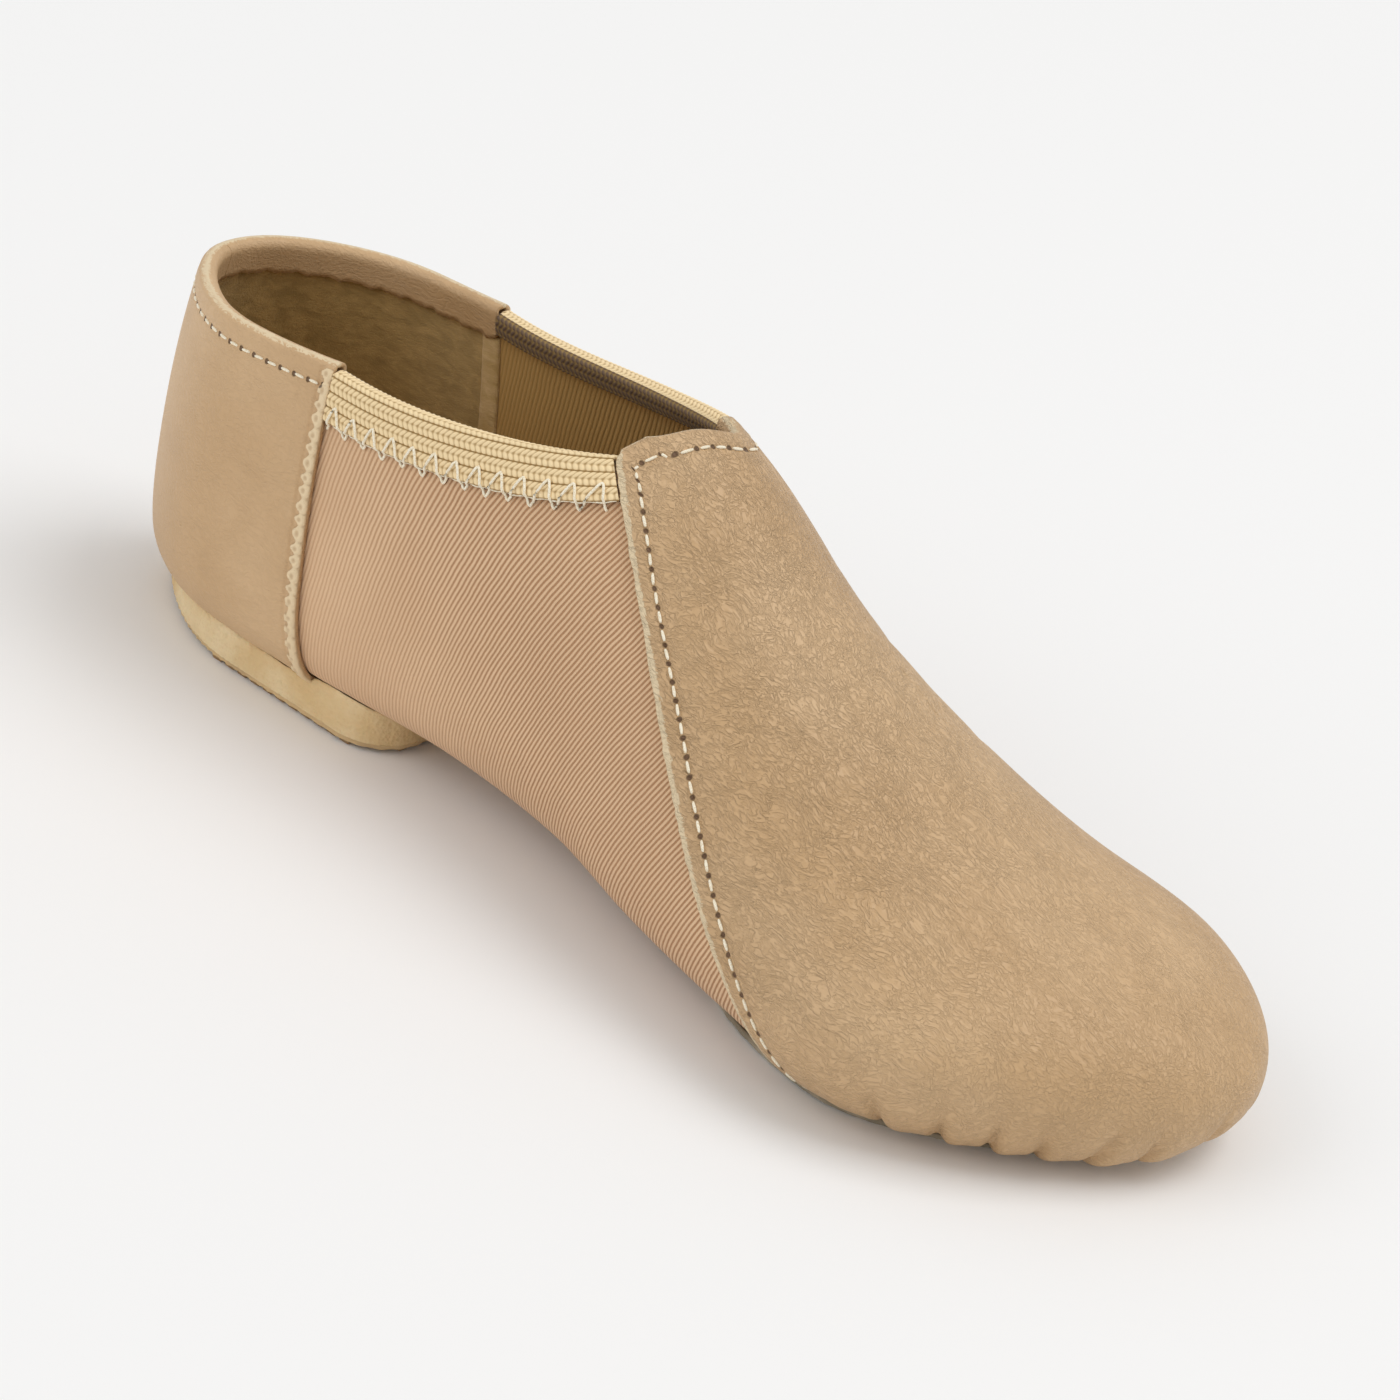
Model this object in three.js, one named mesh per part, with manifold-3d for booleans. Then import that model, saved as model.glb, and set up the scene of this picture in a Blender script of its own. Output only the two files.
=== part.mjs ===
// A slip-on split-sole jazz shoe for the right foot, in millimetres.
// +X points to the toe, +Y to the inner side of the foot and +Z up.
// The origin lies on the floor under the middle of the heel pad.
import * as THREE from "three";
import { mergeVertices } from "three/addons/utils/BufferGeometryUtils.js";
import Module from "manifold-3d";

const wasm = await Module();
wasm.setup();

// The last, the foot shape that the upper is pulled over
const LAST_LENGTH = 245;
const BALL_WIDTH = 80;
const HEEL_WIDTH = 54;
const ANKLE_HEIGHT = 94;
const INSTEP_HEIGHT = 71;
const TOE_BOX_HEIGHT = 33;
const TOE_DRIFT = 10.5; // how far the toe swings to the inner side
const TOE_SPRING = 1.8;
const HEEL_ROUND = { plan: 34, top: 26, under: 5, power: 2 };
const TOE_ROUND = { plan: 44, top: 30, under: 13, power: 2.1 };

// Thicknesses, and the clearance between two layers
const WALL = 1.2; // stretch twill on its lining
const LEATHER = 0.9;
const ELASTIC = 1.2;
const INSOLE_THICKNESS = 2;
const SUEDE = 1.2;
const WEDGE_THICKNESS = 5.8;
const TREAD_THICKNESS = 2;
const PRESS = 0.4; // how far the forefoot suede is pressed flat on the floor
const GAP = 0.3;

// Collar heights above the seat of the last, at the back, at the side seam and over the instep
const COLLAR_BACK = 56.5;
const COLLAR_SEAM = 60;
const ELASTIC_DROP = 1.4; // step from a leather edge down to the elastic
const ELASTIC_SAG = 1; // dip of the elastic between its ends
const COLLAR_VAMP = 66;
const VAMP_RISE = 2; // from the vamp's side corner up to its level edge over the instep
const VAMP_CORNER = 3; // length over which it rises

// Seam places along the foot, from the back of the last
const SEAM_TOP = 55.5;
const SEAM_BOTTOM = 61.5;
const INNER_SEAM_BACK = 4; // how much further back the inner side's seam lies
const VAMP_TOP = 110.5;
const VAMP_BOTTOM = 192.5;
const VAMP_BOW = 1; // how far the vamp's rear edge curves back from a straight line
const HEM = 5.5;
const ELASTIC_WIDTH = 7;
const RIDGE_WIDTH = 3; // the overcast ridge along the quarter's front edge
const RIDGE_PROUD = 0.45;

// The heel pad and the forefoot patch
const PAD_LENGTH = 76;
const PAD_MARGIN = 3.5; // from the last's outline in to the pad's edge
const PAD_CORNER = 11;
const PAD_RIM = 1.2; // how far the foam's edge climbs beside the leather
const PATCH_LENGTH = 90;
const PATCH_WIDTH = 68;
const PATCH_MARGIN = 7; // from the last's outline in to the patch's edge
const PATCH_REAR_ROUND = 46;
const PAD_WINDOW = 10; // width of the lasting margin that the pad covers
const PATCH_WINDOW = 12;
const UNDERLAP = 3; // how far the leather stops inside the pad's or patch's edge
const INSOLE_MARGIN = 6;

// How fine the surfaces are cut
const STATIONS = 34;
const AROUND = 24;
const PLAN_STEPS = 32;
const ARC_STEPS = 5;
const FLAT_TURN = (0.45 * Math.PI) / 2; // how much of the turn is spent on the flat underneath

const SEAT_Z = TREAD_THICKNESS + WEDGE_THICKNESS + GAP + LEATHER + GAP + WALL;
const BALL_Z = SUEDE - PRESS + GAP + LEATHER + GAP + WALL;
const HEEL_X = -(PAD_MARGIN + PAD_LENGTH / 2); // the back of the last
const FAR = LAST_LENGTH; // well past the shoe on every side
const OUTER = -1;
const INNER = 1;

// Cross-sections of the last. Columns:
// at      place along the length, as a share of it
// outer   half width to the outer side, as a share of width
// inner   half width to the inner side
// drift   sideways place of the middle, as a share of TOE_DRIFT
// top     height above the underside, as a share of height
// bulge   height of the widest line, as a share of height
// lift    underside, from the ball's level at 0 to the seat's at 1
// spring  rise of the underside, as a share of TOE_SPRING
// flat    share of the half width that is flat underneath
// crown   power of the curve over the top, 2 being round
const SECTION_COLUMNS = [
  "at", "width", "outer", "inner", "drift", "height", "top", "bulge", "lift", "spring", "flat", "crown",
];
const SECTION_ROWS = [
  [0.0, HEEL_WIDTH, 0.36, 0.46, 0.3, ANKLE_HEIGHT, 0.96, 0.21, 1, 0, 0.76, 2.1],
  [0.12, HEEL_WIDTH, 0.46, 0.53, 0.1, ANKLE_HEIGHT, 1, 0.2, 1, 0, 0.76, 2.15],
  [0.25, HEEL_WIDTH, 0.48, 0.5, 0.1, ANKLE_HEIGHT, 1, 0.19, 0.95, 0, 0.74, 2.15],
  [0.38, HEEL_WIDTH, 0.51, 0.54, 0.28, INSTEP_HEIGHT, 1.13, 0.27, 0.82, 0, 0.6, 2],
  [0.5, BALL_WIDTH, 0.39, 0.38, 0.33, INSTEP_HEIGHT, 1, 0.28, 0.5, 0, 0.5, 1.85],
  [0.6, BALL_WIDTH, 0.44, 0.4, 0.19, INSTEP_HEIGHT, 0.79, 0.25, 0.22, 0, 0.56, 1.87],
  [0.7, BALL_WIDTH, 0.48, 0.46, 0.18, INSTEP_HEIGHT, 0.6, 0.22, 0.03, 0, 0.66, 1.9],
  [0.8, BALL_WIDTH, 0.52, 0.49, 0.22, TOE_BOX_HEIGHT, 1, 0.39, 0, 0, 0.68, 1.95],
  [0.9, BALL_WIDTH, 0.45, 0.475, 0.57, TOE_BOX_HEIGHT, 0.78, 0.36, 0, 0.15, 0.6, 2.2],
  [1.0, BALL_WIDTH, 0.34, 0.405, 1, TOE_BOX_HEIGHT, 0.62, 0.27, 0, 1, 0.5, 2.3],
];
const SECTIONS = SECTION_ROWS.map((row) =>
  Object.fromEntries(row.map((value, i) => [SECTION_COLUMNS[i], value])),
);

// A smooth line through one value of each section, as a function of the share of the length
function along(valueOf) {
  const places = SECTIONS.map((section) => section.at);
  const values = SECTIONS.map(valueOf);
  const last = places.length - 1;
  const slopes = values.map((_, i) => {
    const before = Math.max(i - 1, 0);
    const after = Math.min(i + 1, last);
    return (values[after] - values[before]) / (places[after] - places[before]);
  });
  return (share) => {
    let i = 0;
    while (i < last - 1 && share > places[i + 1]) i++;
    const span = places[i + 1] - places[i];
    const t = (share - places[i]) / span;
    const rise = values[i + 1] - values[i];
    const ease = t * t * (3 - 2 * t);
    const leave = t * (1 - t) * (1 - t) * slopes[i];
    const arrive = t * t * (1 - t) * slopes[i + 1];
    return values[i] + rise * ease + span * (leave - arrive);
  };
}

const outerLine = along((s) => s.width * s.outer);
const innerLine = along((s) => s.width * s.inner);
const middleLine = along((s) => TOE_DRIFT * s.drift);
const underLine = along((s) => BALL_Z + (SEAT_Z - BALL_Z) * s.lift + TOE_SPRING * s.spring);
const topLine = along((s) => s.height * s.top);
const bulgeLine = along((s) => s.height * s.bulge);
const flatLine = along((s) => s.flat);
const crownLine = along((s) => s.crown);

// How much of its full size a section keeps near the heel's and the toe's round ends
function endShare(share, kind) {
  const x = share * LAST_LENGTH;
  const heel = Math.max(1 - x / HEEL_ROUND[kind], 0);
  const toe = Math.max(1 - (LAST_LENGTH - x) / TOE_ROUND[kind], 0);
  const atHeel = (1 - heel ** HEEL_ROUND.power) ** (1 / HEEL_ROUND.power);
  const atToe = (1 - toe ** TOE_ROUND.power) ** (1 / TOE_ROUND.power);
  return atHeel * atToe;
}

// A point of the last: share runs from heel to toe, turn from -PI at the top over the outer side
// to 0 underneath and over the inner side to PI at the top.
function lastPoint(share, turn) {
  const quarter = Math.PI / 2;
  const up = Math.abs(turn);
  const half = (turn < 0 ? outerLine(share) : innerLine(share)) * endShare(share, "plan");
  const under = underLine(share);
  const bulge = under + bulgeLine(share);
  let across;
  let z;
  if (up < quarter) {
    const flat = flatLine(share);
    const round = Math.max(up - FLAT_TURN, 0) / (quarter - FLAT_TURN);
    across = up < FLAT_TURN ? (flat * up) / FLAT_TURN : flat + (1 - flat) * Math.sin(round * quarter);
    z = bulge - (bulge - under) * endShare(share, "under") * Math.cos(round * quarter);
  } else {
    const power = 2 / crownLine(share);
    const top = (topLine(share) - bulgeLine(share)) * endShare(share, "top");
    across = Math.max(Math.cos(up - quarter), 0) ** power;
    z = bulge + top * Math.sin(up - quarter) ** power;
  }
  const y = middleLine(share) + Math.sign(turn) * across * half;
  return new THREE.Vector3(HEEL_X + share * LAST_LENGTH, y, z);
}

// The last as a closed mesh of stations along the foot, with a point at each end
function lastGeometry() {
  const points = [lastPoint(0, 0)];
  for (let i = 1; i < STATIONS; i++) {
    const share = (1 - Math.cos((Math.PI * i) / STATIONS)) / 2;
    for (let j = 0; j < AROUND; j++) points.push(lastPoint(share, (2 * Math.PI * j) / AROUND - Math.PI));
  }
  points.push(lastPoint(1, 0));
  const toe = points.length - 1;
  const faces = [];
  for (let j = 0; j < AROUND; j++) {
    const next = (j + 1) % AROUND;
    faces.push(0, 1 + next, 1 + j);
    for (let i = 0; i < STATIONS - 2; i++) {
      const a = 1 + i * AROUND + j;
      const b = 1 + i * AROUND + next;
      faces.push(a, b, b + AROUND, a, b + AROUND, a + AROUND);
    }
    faces.push(toe, toe - AROUND + j, toe - AROUND + next);
  }
  const geometry = new THREE.BufferGeometry().setFromPoints(points);
  geometry.setIndex(faces);
  geometry.computeVertexNormals();
  return geometry;
}

function solidOf(geometry) {
  const bare = geometry.clone();
  bare.deleteAttribute("normal");
  bare.deleteAttribute("uv");
  const merged = mergeVertices(bare);
  return new wasm.Manifold(
    new wasm.Mesh({
      numProp: 3,
      vertProperties: new Float32Array(merged.attributes.position.array),
      triVerts: new Uint32Array(merged.index.array),
    }),
  );
}

// The last grown by an offset along its normals, or shrunk by a negative one
const LAST = lastGeometry();
const forms = new Map();
function form(offset) {
  if (!forms.has(offset)) {
    const grown = LAST.clone();
    const place = grown.attributes.position;
    const normal = grown.attributes.normal;
    for (let i = 0; i < place.count; i++) {
      place.setXYZ(
        i,
        place.getX(i) + offset * normal.getX(i),
        place.getY(i) + offset * normal.getY(i),
        place.getZ(i) + offset * normal.getZ(i),
      );
    }
    forms.set(offset, solidOf(grown));
  }
  return forms.get(offset);
}

function shell(inside, outside) {
  return form(outside).subtract(form(inside));
}

// A plan outline carried up from one height to another
function prism(shape, low, high) {
  const geometry = new THREE.ExtrudeGeometry(shape, {
    depth: high - low,
    bevelEnabled: false,
    curveSegments: ARC_STEPS,
  });
  return solidOf(geometry.translate(0, 0, low));
}

// A side outline of x and z carried across one side of the shoe
function sidePrism(outline, side) {
  const geometry = new THREE.ExtrudeGeometry(new THREE.Shape(outline), {
    depth: FAR,
    bevelEnabled: false,
  });
  return solidOf(geometry.rotateX(Math.PI / 2).translate(0, side === OUTER ? 0 : FAR, 0));
}

// What a function of the side makes, on both sides
function bothSides(make) {
  return make(OUTER).add(make(INNER));
}

const at = (x, z) => new THREE.Vector2(HEEL_X + x, z);

// How far forward the side seam lies on one side, against the outer one
function seamShift(side) {
  return side === OUTER ? 0 : -INNER_SEAM_BACK;
}

// The collar line as seen from one side, lifted by some height
function collarLine(lift, side) {
  const back = SEAT_Z + COLLAR_BACK + lift;
  const seam = SEAT_Z + COLLAR_SEAM + lift;
  const vamp = SEAT_Z + COLLAR_VAMP + lift;
  const turn = SEAM_TOP + seamShift(side);
  const quarter = new THREE.QuadraticBezierCurve(at(0, back), at(turn / 2, back), at(turn, seam));
  const elastic = new THREE.QuadraticBezierCurve(
    at(turn, seam - ELASTIC_DROP),
    at((turn + VAMP_TOP) / 2, seam - ELASTIC_DROP - ELASTIC_SAG),
    at(VAMP_TOP, vamp - ELASTIC_DROP),
  );
  return [
    at(-FAR, back),
    ...quarter.getPoints(ARC_STEPS),
    ...elastic.getPoints(ARC_STEPS),
    at(VAMP_TOP, vamp),
    at(VAMP_TOP + VAMP_CORNER, vamp + VAMP_RISE),
    at(FAR * 2, vamp + VAMP_RISE),
  ];
}

// All that lies under the collar line
function underCollar(lift) {
  return bothSides((side) =>
    sidePrism([...collarLine(lift, side), at(2 * FAR, -FAR), at(-FAR, -FAR)], side),
  );
}

// The side seam between heel quarter and gore, moved forward by some way
function seamLine(forward, side) {
  const lean = (SEAM_TOP - SEAM_BOTTOM) / (COLLAR_SEAM + SEAT_Z);
  const shift = forward + seamShift(side);
  return [
    at(SEAM_TOP + lean * FAR + shift, SEAT_Z + COLLAR_SEAM + FAR),
    at(SEAM_BOTTOM + shift, 0),
    at(SEAM_BOTTOM + shift, -FAR),
  ];
}

// The vamp's rear edge, moved forward by some way
function vampLine(forward) {
  const top = at(VAMP_TOP + forward, SEAT_Z + COLLAR_VAMP + LEATHER + GAP);
  const bottom = at(VAMP_BOTTOM + forward, 0);
  const middle = top.clone().lerp(bottom, 0.5).sub(new THREE.Vector2(2 * VAMP_BOW, 0));
  const edge = new THREE.QuadraticBezierCurve(top, middle, bottom);
  return [
    at(VAMP_TOP + forward, 2 * FAR),
    ...edge.getPoints(ARC_STEPS),
    at(VAMP_BOTTOM + forward, -FAR),
  ];
}

function behind(line, side) {
  return sidePrism([...line, at(-FAR, -FAR), at(-FAR, 2 * FAR)], side);
}

function ahead(line, side) {
  return sidePrism([...line, at(2 * FAR, -FAR), at(2 * FAR, 2 * FAR)], side);
}

// Half of space on the outer side (-1) or the inner side (1), half a gap off the middle
function sideOf(side) {
  const near = (side * GAP) / 2;
  const outline = [
    new THREE.Vector2(-FAR, near),
    new THREE.Vector2(2 * FAR, near),
    new THREE.Vector2(2 * FAR, side * FAR),
    new THREE.Vector2(-FAR, side * FAR),
  ];
  return prism(new THREE.Shape(outline), -FAR, FAR);
}

// The plan outline of the last, drawn in by a margin
function footprint(margin) {
  const loop = [];
  for (let i = 0; i < PLAN_STEPS; i++) {
    const turn = (2 * Math.PI * i) / PLAN_STEPS;
    const share = (1 - Math.cos(turn)) / 2;
    const side = turn <= Math.PI ? OUTER : INNER;
    const half = (side === OUTER ? outerLine(share) : innerLine(share)) - margin;
    const x = HEEL_X + margin + share * (LAST_LENGTH - 2 * margin);
    loop.push(new THREE.Vector2(x, middleLine(share) + side * half * endShare(share, "plan")));
  }
  return new THREE.Shape(loop);
}

// The heel pad's plan: the foot's outline, cut straight across in front with round corners
function padRegion(inset, low, high) {
  const front = HEEL_X + PAD_MARGIN + PAD_LENGTH - inset;
  const share = (PAD_MARGIN + PAD_LENGTH) / LAST_LENGTH;
  const outer = outerLine(share) - middleLine(share) - PAD_MARGIN - inset;
  const inner = innerLine(share) + middleLine(share) - PAD_MARGIN - inset;
  const corner = Math.max(PAD_CORNER - inset, LEATHER);
  const shape = new THREE.Shape();
  shape.moveTo(-FAR, -outer);
  shape.lineTo(front - corner, -outer);
  shape.absarc(front - corner, corner - outer, corner, -Math.PI / 2, 0, false);
  shape.lineTo(front, inner - corner);
  shape.absarc(front - corner, inner - corner, corner, 0, Math.PI / 2, false);
  shape.lineTo(-FAR, inner);
  const outline = prism(footprint(PAD_MARGIN + inset), low, high);
  return outline.intersect(prism(shape, low, high));
}

// The forefoot patch's plan: the foot's outline, closed behind by half an ellipse
function patchRegion(inset, low, high) {
  const rear = HEEL_X + LAST_LENGTH - PATCH_MARGIN - PATCH_LENGTH + inset;
  const middle = middleLine(1 - (PATCH_MARGIN + PATCH_LENGTH / 2) / LAST_LENGTH);
  const half = PATCH_WIDTH / 2 - inset;
  const round = PATCH_REAR_ROUND - inset;
  const shape = new THREE.Shape();
  shape.moveTo(FAR, middle + half);
  shape.lineTo(rear + round, middle + half);
  shape.absellipse(rear + round, middle, round, half, Math.PI / 2, (3 * Math.PI) / 2, false, 0);
  shape.lineTo(FAR, middle - half);
  const outline = prism(footprint(PATCH_MARGIN + inset), low, high);
  return outline.intersect(prism(shape, low, high));
}

const SKIN = WALL + GAP; // inside face of what lies over the wall
const UNDER_SKIN = SKIN + LEATHER + GAP; // top face of what lies under the leather
const SOLE_HIGH = SEAT_Z + TOE_SPRING; // above every sole piece and under the last's widest line

// Openings underneath, where pad and patch close the upper
function windows() {
  const low = -FAR;
  return padRegion(PAD_WINDOW, low, SOLE_HIGH).add(patchRegion(PATCH_WINDOW, low, SOLE_HIGH));
}

// A cover over the wall with its top edge folded over the collar and turned in as a hem
function foldedCover(thickness, hem) {
  const outside = shell(SKIN, SKIN + thickness).intersect(underCollar(GAP + thickness));
  const around = shell(-GAP - thickness, SKIN + thickness)
    .intersect(underCollar(GAP + thickness))
    .subtract(underCollar(-hem));
  const room = shell(-GAP, SKIN).intersect(underCollar(GAP));
  return outside.add(around.subtract(room));
}

// The gores and the lining, closed under the arch
function upper() {
  return shell(0, WALL).intersect(underCollar(0)).subtract(windows());
}

function vamp() {
  const underPatch = patchRegion(UNDERLAP, -FAR, SOLE_HIGH);
  const region = bothSides((side) => ahead(vampLine(0), side)).add(underPatch);
  return foldedCover(LEATHER, HEM).intersect(region).subtract(windows());
}

function heelQuarter(side) {
  const underPad = padRegion(UNDERLAP, -FAR, SOLE_HIGH);
  const region = behind(seamLine(0, side), side);
  const leather = foldedCover(LEATHER, HEM).intersect(region.add(underPad));
  const ridge = shell(SKIN, SKIN + LEATHER + RIDGE_PROUD)
    .intersect(region)
    .intersect(ahead(seamLine(-RIDGE_WIDTH, side), side))
    .intersect(underCollar(GAP + LEATHER))
    .subtract(prism(footprint(PAD_MARGIN), -FAR, SOLE_HIGH));
  return leather.add(ridge).subtract(windows()).intersect(sideOf(side));
}

function elasticBinding(side) {
  return foldedCover(ELASTIC, ELASTIC_WIDTH)
    .subtract(underCollar(-ELASTIC_WIDTH))
    .intersect(ahead(seamLine(GAP, side), side))
    .intersect(behind(vampLine(-GAP), side));
}

function insole() {
  const bed = form(-GAP);
  const sheet = bed.subtract(bed.translate([0, 0, INSOLE_THICKNESS]));
  return sheet.intersect(prism(footprint(INSOLE_MARGIN), -FAR, FAR));
}

function forefootSole() {
  return shell(UNDER_SKIN, UNDER_SKIN + SUEDE).intersect(patchRegion(0, 0, SOLE_HIGH));
}

function heelWedge() {
  const rim = TREAD_THICKNESS + WEDGE_THICKNESS + PAD_RIM;
  return padRegion(0, TREAD_THICKNESS, rim).subtract(form(UNDER_SKIN));
}

function heelTread() {
  return padRegion(0, 0, TREAD_THICKNESS);
}

const TWILL = new THREE.MeshStandardMaterial({ color: 0xbd9a76, roughness: 0.85, metalness: 0 });
const TAN_LEATHER = new THREE.MeshStandardMaterial({ color: 0xc6a27a, roughness: 0.55, metalness: 0 });
const KNIT_ELASTIC = new THREE.MeshStandardMaterial({ color: 0xd2b189, roughness: 0.9, metalness: 0 });
const FOOTBED = new THREE.MeshStandardMaterial({ color: 0xb39a78, roughness: 0.95, metalness: 0 });
const ROUGH_SUEDE = new THREE.MeshStandardMaterial({ color: 0xada18d, roughness: 1, metalness: 0 });
const CREAM_FOAM = new THREE.MeshStandardMaterial({ color: 0xd9bd92, roughness: 0.9, metalness: 0 });
const TREAD_RUBBER = new THREE.MeshStandardMaterial({ color: 0xa48560, roughness: 0.7, metalness: 0 });

function part(name, solid, material) {
  const { numProp, vertProperties, triVerts } = solid.getMesh();
  const geometry = new THREE.BufferGeometry();
  geometry.setAttribute("position", new THREE.BufferAttribute(vertProperties, numProp));
  geometry.setIndex(new THREE.BufferAttribute(triVerts, 1));
  geometry.computeVertexNormals();
  const mesh = new THREE.Mesh(geometry, material);
  mesh.name = name;
  return mesh;
}

const shoe = new THREE.Group();
shoe.add(
  part("upper", upper(), TWILL),
  part("vamp", vamp(), TAN_LEATHER),
  part("heel_quarter_outer", heelQuarter(OUTER), TAN_LEATHER),
  part("heel_quarter_inner", heelQuarter(INNER), TAN_LEATHER),
  part("elastic_binding_outer", elasticBinding(OUTER), KNIT_ELASTIC),
  part("elastic_binding_inner", elasticBinding(INNER), KNIT_ELASTIC),
  part("insole", insole(), FOOTBED),
  part("forefoot_sole", forefootSole(), ROUGH_SUEDE),
  part("heel_wedge", heelWedge(), CREAM_FOAM),
  part("heel_tread", heelTread(), TREAD_RUBBER),
);

export default shoe;
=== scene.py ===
"""A slip-on split-sole jazz shoe for the right foot, dressed over its solids.

Formulas are in millimetres in the solids' frame: +X to the toe, +Y to the inner side, +Z up.
Meshes are put in metres. A sheet is worked out as two strands of rows, its shown face and its
hidden face, and closed round its edges.
"""
import math

import bpy
import numpy as np
from bpy.props import FloatProperty, FloatVectorProperty, PointerProperty
from mathutils import Matrix


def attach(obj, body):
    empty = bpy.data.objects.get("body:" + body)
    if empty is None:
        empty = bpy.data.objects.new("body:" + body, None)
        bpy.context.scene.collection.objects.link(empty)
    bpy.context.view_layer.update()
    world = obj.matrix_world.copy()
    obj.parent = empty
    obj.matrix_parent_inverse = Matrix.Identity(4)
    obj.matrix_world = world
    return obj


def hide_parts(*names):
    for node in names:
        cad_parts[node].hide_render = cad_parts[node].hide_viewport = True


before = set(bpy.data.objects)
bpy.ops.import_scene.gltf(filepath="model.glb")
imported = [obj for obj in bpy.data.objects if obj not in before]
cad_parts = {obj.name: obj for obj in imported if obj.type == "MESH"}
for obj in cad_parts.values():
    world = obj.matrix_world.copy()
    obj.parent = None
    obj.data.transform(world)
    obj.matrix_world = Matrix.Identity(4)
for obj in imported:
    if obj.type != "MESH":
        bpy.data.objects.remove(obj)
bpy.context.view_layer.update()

bl_info = {
    "name": "Jazz shoe",
    "version": (1, 0, 0),
    "blender": (4, 5, 0),
    "location": "3D View > Sidebar > Shoe",
    "description": "Makes a slip-on jazz shoe of leather, stretch twill and knitted elastic",
    "category": "Add Mesh",
}

# The last, the foot shape that the upper is pulled over, with the same sizes as the solids
LAST_LENGTH = 245
BALL_WIDTH = 80
HEEL_WIDTH = 54
ANKLE_HEIGHT = 94
INSTEP_HEIGHT = 71
TOE_BOX_HEIGHT = 33
TOE_DRIFT = 10.5
TOE_SPRING = 1.8
SEAT_Z = 10.5
BALL_Z = 3.5
HEEL_X = -41.5
HEEL_ROUND = {"plan": 34, "top": 26, "under": 5, "power": 2}
TOE_ROUND = {"plan": 44, "top": 30, "under": 13, "power": 2.1}
QUARTER = math.pi / 2
FLAT_TURN = 0.45 * QUARTER

# Faces of the layers, as distances from the last
WALL = 1.2
SKIN = 1.5
LEATHER = 0.9
GAP = 0.3
UNDER_SKIN = 2.7
SUEDE = 1.2

# Collar heights and seam places, as in the solids
COLLAR_BACK = SEAT_Z + 56.5
COLLAR_SEAM = SEAT_Z + 60
COLLAR_VAMP = SEAT_Z + 66
ELASTIC_DROP = 1.4
ELASTIC_SAG = 1
VAMP_RISE = 2
VAMP_CORNER = 3
VAMP_ARCH = 3.6
# The two edges of the vamp meet in a corner eased over this share of the way to the toe
CORNER_EASE = 0.01
SEAM_TOP = HEEL_X + 55.5
SEAM_BOTTOM = HEEL_X + 61.5
INNER_SEAM_BACK = 4
VAMP_TOP = HEEL_X + 110.5
VAMP_BOTTOM = HEEL_X + 192.5
VAMP_BOW = 1
HEM = 5.5
ELASTIC_WIDTH = 7
RIDGE_WIDTH = 2.5
LOOP_PITCH = 2.7
STITCH_PITCH = 3.4
STITCH_INSET = 3.4

# Pad and patch
PAD_LENGTH = 76
PAD_MARGIN = 3.5
PAD_CORNER = 11
PAD_LIP = 13.5
PAD_CENTRE = np.array([-2.0, 1.5])
TREAD_TOP = 2
TREAD_BASE = 0.95
PATCH_LENGTH = 90
PATCH_WIDTH = 68
PATCH_MARGIN = 7
PATCH_REAR_ROUND = 46
PATCH_CENTRE = np.array([152.0, 2.2])
INSOLE_MARGIN = 6
INSOLE_THICKNESS = 2
OUTER = -1
INNER = 1

# Middle and radius of the toe's round outline, which the pleats follow
TOE_CENTRE = (158, 6)
TOE_RADIUS = 38

# Columns: place along the length, outer and inner half width as shares of WIDTHS, sideways drift of
# the middle, top and bulge heights over the underside as shares of HEIGHTS, rise of the underside,
# spring of the toe, flat share underneath, power of the crown
SECTIONS = np.array([
    [0.0, 0.36, 0.46, 0.3, 0.96, 0.21, 1, 0, 0.76, 2.1],
    [0.12, 0.46, 0.53, 0.1, 1, 0.2, 1, 0, 0.76, 2.15],
    [0.25, 0.48, 0.5, 0.1, 1, 0.19, 0.95, 0, 0.74, 2.15],
    [0.38, 0.51, 0.54, 0.28, 1.13, 0.27, 0.82, 0, 0.6, 2],
    [0.5, 0.39, 0.38, 0.33, 1, 0.28, 0.5, 0, 0.5, 1.85],
    [0.6, 0.44, 0.4, 0.19, 0.79, 0.25, 0.22, 0, 0.56, 1.87],
    [0.7, 0.48, 0.46, 0.18, 0.6, 0.22, 0.03, 0, 0.66, 1.9],
    [0.8, 0.52, 0.49, 0.22, 1, 0.39, 0, 0, 0.68, 1.95],
    [0.9, 0.45, 0.475, 0.57, 0.78, 0.36, 0, 0.15, 0.6, 2.2],
    [1.0, 0.34, 0.405, 1, 0.62, 0.27, 0, 1, 0.5, 2.3],
])
WIDTHS = np.repeat([HEEL_WIDTH, BALL_WIDTH], [4, 6])
HEIGHTS = np.repeat([ANKLE_HEIGHT, INSTEP_HEIGHT, TOE_BOX_HEIGHT], [3, 4, 3])
FINE_PLACES = np.linspace(0, 1, 4001)


def along(values):
    """A smooth line through one value a section: cubic pieces whose slopes span the neighbours."""
    places = SECTIONS[:, 0]
    index = np.arange(len(places))
    before = np.maximum(index - 1, 0)
    after = np.minimum(index + 1, len(places) - 1)
    slopes = (values[after] - values[before]) / (places[after] - places[before])
    i = np.clip(np.searchsorted(places, FINE_PLACES) - 1, 0, len(places) - 2)
    span = places[i + 1] - places[i]
    t = (FINE_PLACES - places[i]) / span
    ease = t * t * (3 - 2 * t)
    bend = t * (1 - t) ** 2 * slopes[i] - t * t * (1 - t) * slopes[i + 1]
    return values[i] + (values[i + 1] - values[i]) * ease + span * bend


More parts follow.
